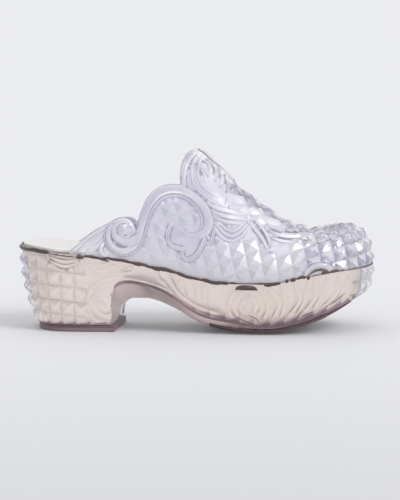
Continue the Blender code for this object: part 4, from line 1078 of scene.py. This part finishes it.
def upper_mesh():
    """Both halves of the hollow upper: outside, lining, rim and a rounded free edge."""
    ring, runs = upper_ring()
    bands = [Band(row, upper_spot, UPPER_BAND_STEP) for row in UPPER_RELIEF]
    leaf = upper_spot(*np.array(LEAF).T)
    weight = upper_weight(leaf)
    lines = band_lines(ring, bands)
    studs = upper_lattice_place, UPPER_COLUMNS, UPPER_ROWS, STUD_CLEAR
    lines.append(lattice_lines(ring, bands, *studs, weight))
    lines.append(fill_grid(ring, bands, GRID_STEP, UPPER_GRID_CLEAR, weight))
    outside, outside_faces = triangulate(ring, lines)
    lining, lining_faces = triangulate(ring, [fill_grid(ring, [], LINING_STEP, LINING_CLEAR)])
    strength = weight(outside)
    heights, tones, dark = upper_relief(outside, runs, strength, bands, leaf)
    outside_slots = facet_slots(outside, outside_faces, strength, dark)
    rim, edge, shared = runs["rim"], runs["edge"], runs["shared"]
    out, back = upper_layer(outside, shared, heights), upper_layer(lining, shared, -WALL)
    lips = {side: lip_direction(ring, edge, side) for side in SIDES}
    peak = lips[OUTER][0] * (1, 0, 1)

    points, faces, tone, slots = [], [], [], []
    for side in SIDES:
        first = len(points)
        second = first + len(outside)
        points += list(out[side]) + list(back[side])
        tone += list(tones) + [PLAIN_TONE] * len(lining)
        faces += list(first + outside_faces) + list(second + lining_faces)
        slots += list(outside_slots) + [LINING_SLOT] * len(lining_faces)
        faces += sheet((first + rim[1:], second + rim[1:]))
        near, far, away = out[side][edge], back[side][edge], lips[side]
        away[0] = peak
        rows = [first + edge]
        for turn in np.radians(LIP_ANGLES):
            bulge = LIP_BULGE * WALL * math.sin(turn) * away
            bulge[-1] = 0.0
            rows.append(len(points) + np.arange(len(edge)))
            points += list((near + far) / 2 + (near - far) / 2 * math.cos(turn) + bulge)
            # The rounded free edge is darkened: painted shade
            tone += [LIP_TONE] * len(edge)
        rows.append(second + edge)
        faces += sheet(rows)
        faces.append((first + rim[1], second + rim[1], *(row[-1] for row in reversed(rows))))
        slots += [CLEAR_SLOT] * (len(faces) - len(slots))
    return mesh_from("upper_shell", points, faces, UPPER_SHARP, tone, slots)


# The sole

def bottom_walk(step):
    """Places along the bottom edge, closer together up the heel's breast."""
    breast = walk_to(np.array([row[0] for row in BELLY[BREAST_ROWS]]))
    s = np.concatenate((np.arange(0, RIM_LENGTH, step), breast, [RIM_LENGTH]))
    s = np.unique(np.round(s, DIGITS))
    near = np.abs(s[:, None] - breast).min(axis=1)
    return s[(near < BREAST_SAME) | (near > BREAST_CLEAR)]


def sole_ring():
    """Outline of one half of the unrolled side of the sole, with the point numbers of its rim and bottom."""
    rim = np.column_stack((np.linspace(RIM_LENGTH, 0, SOLE_RIM), np.zeros(SOLE_RIM)))
    bottom_s = bottom_walk(BOTTOM_STEP)
    bottom = np.column_stack((bottom_s, sole_depth(bottom_s)))
    down = np.linspace(0, bottom[0, 1], SOLE_TOE)[1:-1]
    toe = np.column_stack((np.zeros_like(down), down))
    up = np.linspace(bottom[-1, 1], 0, SOLE_BACK)[1:-1]
    back = np.column_stack((np.full_like(up, RIM_LENGTH), up))
    ring = np.concatenate((rim, toe, bottom, back))
    return ring, {"rim": np.arange(SOLE_RIM), "bottom": len(rim) + len(toe) + np.arange(len(bottom))}


def sole_bands():
    bands = [Band(row, sole_spot, SOLE_BAND_STEP) for row in SOLE_RELIEF]

    def add(name, law, half, end, height, line):
        bands.append(Band((name, law, half, end, height, "soft", line), sole_spot, SOLE_BAND_STEP))

    turn = np.radians(np.linspace(*ROSETTE_TURN, ROSETTE_STEPS))
    for radius in ROSETTE_RADII:
        arc = np.array(ROSETTE_CENTRE) + radius * np.column_stack((np.cos(turn), np.sin(turn)))
        add("rosette", "even", ROSETTE_HALF, ROSETTE_HALF, ROSETTE_HEIGHT, arc)
    for name, count, half, height, first, last in SOLE_FANS:
        for k in np.linspace(0, 1, count):
            stroke = np.array(first) * (1 - k) + np.array(last) * k
            stroke[1, 0] += FAN_SWAY * (-1) ** len(bands)
            add(name, "leaf", half, 0.0, height, stroke)
    return bands


def sole_weight(places):
    """Studs show round the heel and the toe."""
    s, q = places.T
    return np.where((s > HEEL_EDGE) & (q > HEEL_LIP * LIP_SHARE) | (s < TOE_STUD_SPAN), 1.0, 0.0)


def sole_relief(places, runs, bands):
    """Heights and tones of the sole's side: studs and bands with painted shade and highlight, and a dark
    jagged band of painted shade over its bottom edge.
    """
    s, q = places.T
    x = rim_x(s)
    at_heel, at_toe = s > HEEL_EDGE, s < TOE_STUD_SPAN
    pyramid = stud(*heel_lattice(places))
    heel = np.where(s > RIM_LENGTH - HEEL_CLEAR_SPAN, BACK_STUD_RISE * pyramid, cushion(pyramid))
    plain = np.where(at_heel & (q > HEEL_LIP), heel * HEEL_STUD_HEIGHT, 0.0)
    plain = np.where(at_toe, stud(*toe_lattice(places)) * TOE_STUD_HEIGHT, plain)
    valley = mix(HEEL_VALLEY_TONE, TOE_VALLEY_TONE, at_toe.astype(float))
    shade = np.where(at_heel, pyramid, plain / HEEL_STUD_HEIGHT)
    tones = np.where(sole_weight(places) > 0, stud_tone(shade, valley), PLAIN_TONE)
    heights, tones, _ = relief(places, bands, plain, tones)
    # Painted shade: a dark jagged band over the bottom edge, shallower toward the heel
    jagged = np.where(x < HEEL_BAND_X, 1.0, fade(x, JAG_FROM_X, JAG_RUN))
    saw = mix(SMOOTH_SAW, (x / DASH) % 1.0, jagged)
    depth = BAND_DEPTH * mix(BAND_BACK, 1, fade(x, BAND_FROM_X, BAND_RUN)) * mix(SAW_LEAST, 1, saw)
    line = mix(*BAND_LINE, saw) * np.where(x < HEEL_BAND_X, HEEL_BAND, 1.0)
    band = fade(ring_depth(s) - q, line, depth)
    dark = np.where(band <= 0, 0.0, mix(BAND_TONE, 1, band))
    tones = np.where(s > TOE_STUD_SPAN, np.minimum(tones, dark), tones)
    # The bottom edge itself gets the darkest painted shade
    heights[runs["bottom"]] = tones[runs["bottom"]] = 0.0
    heights[runs["rim"]] = rim_lip(s[runs["rim"]])
    return heights, tones


def belly_strip(left, right, shares):
    """Rows of points across the underside between two edges."""
    rows = []
    for k in shares:
        t = (k + 1) / 2
        p = left * (1 - t) + right * t
        edge, low = p[:, 2], np.minimum(BELLY_AT["keel"](p[:, 0]), p[:, 2])
        p[:, 2] = mix(low, edge, abs(k) ** BELLY_AT["square"](p[:, 0]))
        rows.append(p)
    return rows


def sole_mesh():
    """Both sides of the sole, its flat top and its belly."""
    ring, runs = sole_ring()
    rim, bottom = runs["rim"], runs["bottom"]
    bands = sole_bands()
    lines = band_lines(ring, bands)
    for place, columns, rows in ((heel_lattice_place, HEEL_COLUMNS, HEEL_ROWS),
                                 (toe_lattice_place, TOE_COLUMNS, TOE_ROWS)):
        lines.append(lattice_lines(ring, bands, place, columns, rows, BAND_CLEAR, sole_weight))
    lines.append(fill_grid(ring, bands, GRID_STEP, SOLE_GRID_CLEAR, sole_weight))
    for rise in BAND_RISES:
        line = ring[bottom] - (0.0, rise)
        lines.append(kept_runs(line, (line[:, 0] > TOE_STUD_SPAN) & (line[:, 0] < RIM_LENGTH - EDGE_CLEAR)))
    places, wall = triangulate(ring, lines)
    heights, tones = sole_relief(places, runs, bands)
    s, q = places.T
    sides = []
    for side in SIDES:
        _, normal = rim_frame(s, side)
        sides.append(sole_point(s, q, side) + np.column_stack((normal, np.zeros(len(s)))) * heights[:, None])
    second = len(places)
    belly = belly_strip(sides[0][bottom], sides[1][bottom], BELLY_SHARES)
    points = np.concatenate(sides + belly)
    across = grid(len(belly), len(bottom), 2 * second)
    under = sheet((rim, second + rim)) + sheet(np.concatenate(([bottom], across, [second + bottom])))
    faces = list(wall) + list(second + wall) + under
    # BELLY_TONE darkens the underside: painted shade
    tone = list(tones) * 2 + [BELLY_TONE] * across.size
    s, q = places[wall].mean(axis=1).T
    clear = (s > RIM_LENGTH - HEEL_CLEAR_SPAN) & (q > HEEL_LIP) | (s < TOE_CLEAR_SPAN)
    middle = np.array([points[list(face)].mean(axis=0) for face in under])
    breast = ((middle > BREAST_CLEAR_LOW) & (middle < BREAST_CLEAR_HIGH)).all(axis=1)
    slots = np.concatenate((clear, clear, breast)).astype(int)
    return mesh_from("sole_body", points, faces, SOLE_SHARP, tone, slots)


# Insole, outsole and heel lift

def plate_mesh(name, rows, thickness, edge_round):
    """A closed plate over rows of points that run along the shoe, with its upper and lower edges rounded."""
    top, bottom = np.array(rows), np.array(rows)
    border = np.zeros(top.shape[:2])
    border[[0, -1], :] = 1.0
    border[:, [0, -1]] = 1.0
    top[..., 2] += thickness
    top[..., 2] -= edge_round * border
    bottom[..., 2] += edge_round * LOWER_EDGE_SHARE * border
    points = np.concatenate((top.reshape(-1, 3), bottom.reshape(-1, 3)))
    index = grid(*border.shape)
    faces = sheet(index) + [face[::-1] for face in sheet(index + index.size)]
    loop = np.concatenate((index[0], index[1:, -1], index[-1, -2::-1], index[-2:0:-1, 0]))
    faces += sheet(closed(np.array((loop, loop + index.size)), 1))
    return mesh_from(name, points, faces, PLATE_SHARP)


def insole_mesh():
    s = np.linspace(0, RIM_LENGTH, INSOLE_STEPS)[1:-1]
    seated = ease(fade(rim_x(s), INSOLE_SEAT_X, INSOLE_SEAT_RUN))
    inset = mix(INSOLE_HEEL_INSET, RIM_INSET + WALL + INSOLE_PLAY, seated)
    edges = []
    for side in SIDES:
        rim, normal = rim_frame(s, side)
        edges.append(rim - normal * inset[:, None])
    rows = []
    for t in INSOLE_SHARES:
        plan = edges[0] * (1 - t) + edges[1] * t
        rows.append(np.column_stack((plan, SHAPE_AT["rim"](plan[:, 0]) + GAP)))
    return plate_mesh("insole_bed", rows, INSOLE_THICKNESS, INSOLE_EDGE)


def outsole_mesh():
    s = bottom_walk(OUTSOLE_STEP)
    s = s[(rim_x(s) > OUTSOLE_BACK) & (rim_x(s) < OUTSOLE_FRONT)]
    low = sole_depth(s)
    x = rim_x(s)
    taper = fade(np.minimum(x - OUTSOLE_BACK, OUTSOLE_FRONT - x), 0, OUTSOLE_FADE)
    thickness = OUTSOLE_THICKNESS * mix(OUTSOLE_END_SHARE, 1, taper)
    jag = OUTSOLE_JAG * ((x / DASH) % 1.0) * taper
    shares = np.linspace(-OUTSOLE_REACH, OUTSOLE_REACH, OUTSOLE_LINES)
    rows = belly_strip(sole_point(s, low, OUTER), sole_point(s, low, INNER), shares)
    for row, share in zip(rows, shares):
        row[:, 2] -= GAP + thickness
        row[:, 1] += np.sign(share) * jag * (abs(share) > OUTSOLE_JAG_SHARE)
    return plate_mesh("outsole_tread", rows, thickness, OUTSOLE_EDGE)


def lift_mesh():
    """The heel lift: its outline at several levels, eased at the top and the bottom and grooved between."""
    s = np.linspace(walk_to(LIFT_FRONT), RIM_LENGTH, LIFT_STEPS)
    low = SHAPE_AT["rim"](rim_x(s)) - BELLY_AT["edge"](HEEL_FLAT_X)
    outlines, outs = [], []
    for side in SIDES:
        _, normal = rim_frame(s, side)
        plan = sole_point(s, low, side)[:, :2] - normal * LIFT_INSET
        order = slice(None) if side == OUTER else slice(-2, None, -1)
        outlines.append(plan[order])
        outs.append(normal[order])
    outline, out = np.concatenate(outlines), np.concatenate(outs)
    count = len(outline)
    rows = [np.column_stack((outline - out * inset, np.full(count, z))) for z, inset in LIFT_LEVELS]
    index = grid(len(rows), count)
    faces = sheet(closed(index, 1)) + [index[0][::-1], index[-1]]
    # Faces from the shade height up take the second slot: painted shade where the lift meets the sole
    slots = [int(z >= LIFT_SHADE_FROM) for z, _ in LIFT_LEVELS[:-1] for _ in range(count)] + [0, 1]
    return mesh_from("lift_block", np.concatenate(rows), faces, LIFT_SHARP, None, slots)


# The dark line in the joint between upper and sole

def joint_rows(s, side, middle, half):
    """Points round the dark line at places s: its middle over the rim, and its half height."""
    rim, normal = rim_frame(s, side)
    rows = []
    for turn in JOINT_TURNS:
        plan = rim + normal * (rim_lip(s) + JOINT_REACH * math.cos(turn))[:, None]
        rows.append(np.column_stack((plan, SHAPE_AT["rim"](rim_x(s)) + middle + half * math.sin(turn))))
    return np.array(rows)


def streak_rows(side, back, front, lift, half, bow, flat, lean=0.0):
    """One tapered streak of the dark line."""
    s = np.linspace(walk_to(front), walk_to(back), STREAK_STEPS)
    t = np.linspace(0, 1, STREAK_STEPS)
    wave = np.maximum(np.sin(math.pi * t), 0.0)
    thick = half * wave ** (STREAK_POWER - STREAK_FLAT_POWER * flat) + STREAK_LEAST
    return joint_rows(s, side, lift + lean * (2 * t - 1) + bow * wave ** BOW_POWER + flat * thick, thick)


def joint_mesh():
    """A thin line all round the joint, with layered streaks along it."""
    rng = np.random.default_rng(JOINT_SEED)
    s = np.linspace(0, RIM_LENGTH, JOINT_STEPS)
    x = rim_x(s)
    pitch = np.array(JOINT_PITCHES)
    loops, streaks = [], []
    for side in SIDES:
        phase = rng.uniform(0, 2 * math.pi, len(pitch))
        waves = np.sin(s[:, None] * 2 * math.pi / pitch + phase).mean(axis=1)
        middle = JOINT_AT["lift"](x) + JOINT_WANDER * waves * (x < JOINT_WANDER_X)
        thick = JOINT_SWELL * JOINT_AT["half"](x) * (1 + JOINT_WAVE * waves)
        loops.append(joint_rows(s, side, middle, thick))
        for back, front in STREAK_SPANS:
            for place in np.arange(back, front, STREAK_PITCH):
                reach = rng.uniform(*STREAK_LENGTH) / 2
                half, lift = rng.uniform(*STREAK_HALF), rng.uniform(*STREAK_LIFT)
                lean = rng.uniform(*STREAK_TILT) * STREAK_LEAN
                ends = max(place - reach, back), min(place + reach, front)
                streaks.append(streak_rows(side, *ends, lift, half, 0.0, 0.0, lean))
        streaks += [streak_rows(side, *row[1:]) for row in STREAKS]
    around = np.concatenate((loops[0], loops[1][:, ::-1][:, 1:-1]), axis=1)
    index = grid(*around.shape[:2])
    points, faces = [around.reshape(-1, 3)], sheet(closed(closed(index, 0), 1))
    first = index.size
    for rows in streaks:
        index = grid(*rows.shape[:2], first)
        points.append(rows.reshape(-1, 3))
        faces += sheet(closed(index, 0)) + [index[:, 0], index[:, -1]]
        first += index.size
    return mesh_from("joint_line", np.concatenate(points), faces, JOINT_SHARP)


# Materials

def add_node(tree, kind, **inputs):
    node = tree.nodes.new(kind)
    for socket, value in inputs.items():
        node.inputs[socket.replace("_", " ")].default_value = value
    return node


def add_ramp(tree, tones):
    """A colour ramp through pairs of place and colour."""
    ramp = tree.nodes.new("ShaderNodeValToRGB")
    for place, _ in tones[1:-1]:
        ramp.color_ramp.elements.new(place)
    for element, (place, color) in zip(ramp.color_ramp.elements, tones):
        element.position = place
        element.color = (*color, 1.0)
    return ramp


def wire(tree, *links):
    """Link each node's output to another node's input."""
    for source, output, target, socket in links:
        tree.links.new(source.outputs[output], target.inputs[socket])


def principled(name, color, roughness, **values):
    material = bpy.data.materials.new(name)
    material.use_nodes = True
    shader = material.node_tree.nodes["Principled BSDF"]
    shader.inputs["Base Color"].default_value = (*color, 1.0)
    shader.inputs["Roughness"].default_value = roughness
    for socket, value in values.items():
        shader.inputs[socket.replace("_", " ")].default_value = value
    return material, shader


def add_grain(tree, shader, scale, detail, roughness, strength, height):
    """A fine waviness of the surface; returns the noise that makes it."""
    place = tree.nodes.new("ShaderNodeTexCoord")
    noise = add_node(tree, "ShaderNodeTexNoise", Scale=scale, Detail=detail, Roughness=roughness)
    bump = add_node(tree, "ShaderNodeBump", Strength=strength, Distance=height)
    wire(tree, (place, "Object", noise, "Vector"), (noise, "Fac", bump, "Height"),
         (bump, "Normal", shader, "Normal"))
    return noise


def plastic(name):
    """Clear moulded plastic: painted highlight on the crests, painted shade in the grooves, and tinted
    through its thickness.
    """
    tones, roughness, transmission, density, depth_color, waviness, coat = PLASTICS[name]
    material, shader = principled(name, tones[-1][1], roughness, Transmission_Weight=transmission,
                                  IOR=REFRACTION, Coat_Weight=coat, Coat_Roughness=COAT_ROUGHNESS)
    tree = material.node_tree
    tone = tree.nodes.new("ShaderNodeAttribute")
    tone.attribute_name = "tone"
    ramp = add_ramp(tree, tones)
    absorb = add_node(tree, "ShaderNodeVolumeAbsorption", Density=density, Color=(*depth_color, 1.0))
    wire(tree, (tone, "Fac", ramp, "Fac"), (ramp, "Color", shader, "Base Color"),
         (absorb, "Volume", tree.nodes["Material Output"], "Volume"))
    add_grain(tree, shader, WAVES_SCALE, WAVES_DETAIL, WAVES_ROUGHNESS, waviness, WAVES_HEIGHT)
    return material


def opaque(name):
    """An opaque material whose colour wanders a little, with a fine grain."""
    color, roughness, scale, wander, strength = OPAQUES[name]
    material, shader = principled(name, color, roughness)
    tree = material.node_tree
    noise = add_grain(tree, shader, scale, GRAIN_DETAIL, GRAIN_ROUGHNESS, strength, GRAIN_HEIGHT)
    dark, pale = [c * (1 - wander) for c in color], [min(1.0, c * (1 + wander)) for c in color]
    ramp = add_ramp(tree, ((0.0, dark), (1.0, pale)))
    wire(tree, (noise, "Fac", ramp, "Fac"), (ramp, "Color", shader, "Base Color"))
    return material


# Stage

def link_new(name, data):
    obj = bpy.data.objects.new(name, data)
    bpy.context.scene.collection.objects.link(obj)
    return obj


def add_camera():
    data = bpy.data.cameras.new("camera")
    data.sensor_width = SENSOR
    data.lens = SENSOR * CAMERA_DISTANCE / PICTURE_HEIGHT
    camera = link_new("camera", data)
    a, e = math.radians(CAMERA_AZIMUTH), math.radians(CAMERA_ELEVATION)
    back = Vector((math.sin(a) * math.cos(e), -math.cos(a) * math.cos(e), math.sin(e)))
    camera.location = Vector(CAMERA_TARGET) + back * CAMERA_DISTANCE
    camera.rotation_euler = (-back).to_track_quat("-Z", "Y").to_euler()
    bpy.context.scene.camera = camera


def add_floor():
    """A wide pale floor with painted light: a little brighter far from the camera."""
    mesh = bpy.data.meshes.new("floor")
    corners = [(x * FLOOR_HALF, y * FLOOR_HALF, 0) for x, y in ((-1, -1), (1, -1), (1, 1), (-1, 1))]
    mesh.from_pydata(corners, [], [(0, 1, 2, 3)])
    floor = link_new("floor", mesh)
    floor.location.z = FLOOR_Z
    material, shader = principled("pale floor", FLOOR_PAINTED_LIGHT_TONES[-1][1], FLOOR_ROUGHNESS,
                                  Specular_IOR_Level=FLOOR_SPECULAR)
    tree = material.node_tree
    place, split = tree.nodes.new("ShaderNodeTexCoord"), tree.nodes.new("ShaderNodeSeparateXYZ")
    depth = add_node(tree, "ShaderNodeMapRange", From_Min=FLOOR_NEAR_Y, From_Max=FLOOR_FAR_Y)
    ramp = add_ramp(tree, FLOOR_PAINTED_LIGHT_TONES)
    wire(tree, (place, "Object", split, "Vector"), (split, "Y", depth, "Value"),
         (depth, "Result", ramp, "Fac"), (ramp, "Color", shader, "Base Color"))
    mesh.materials.append(material)


def add_world():
    """A soft white studio, brightest above and behind, dim lilac below and in front."""
    world = bpy.data.worlds.new("studio")
    world.use_nodes = True
    tree = world.node_tree
    place = tree.nodes.new("ShaderNodeTexCoord")
    toward = tree.nodes.new("ShaderNodeVectorMath")
    toward.operation = "DOT_PRODUCT"
    toward.inputs[1].default_value = Vector(STUDIO_BRIGHT_SIDE).normalized()
    spread = add_node(tree, "ShaderNodeMapRange", From_Min=-1.0)
    ramp = add_ramp(tree, STUDIO_TONES)
    background = tree.nodes["Background"]
    background.inputs["Strength"].default_value = STUDIO_STRENGTH
    wire(tree, (place, "Generated", toward, 0), (toward, "Value", spread, "Value"),
         (spread, "Result", ramp, "Fac"), (ramp, "Color", background, "Color"))
    bpy.context.scene.world = world


def add_light():
    add_world()
    for name, (source, width, strength, shadow) in SUNS.items():
        data = bpy.data.lights.new(name, "SUN")
        data.energy = strength
        data.angle = math.radians(width)
        data.use_shadow = shadow
        sun = link_new(name, data)
        sun.rotation_euler = (-Vector(source)).to_track_quat("-Z", "Y").to_euler()
    scene = bpy.context.scene
    scene.view_settings.view_transform = "Standard"
    scene.cycles.max_bounces = MOST_BOUNCES
    scene.cycles.transmission_bounces = CLEAR_BOUNCES
    scene.cycles.transparent_max_bounces = SEE_THROUGH_BOUNCES


def add_piece(mesh, materials):
    slot, nodes, names = PIECES[mesh.name]
    obj = link_new(mesh.name, mesh)
    for name in names:
        mesh.materials.append(materials[name])
    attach(obj, "root")
    if nodes:
        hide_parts(*nodes)


def main():
    add_camera()
    add_floor()
    add_light()
    materials = {name: plastic(name) for name in PLASTICS}
    materials.update({name: opaque(name) for name in OPAQUES})
    for make in (upper_mesh, sole_mesh, insole_mesh, outsole_mesh, lift_mesh, joint_mesh):
        add_piece(make(), materials)


main()
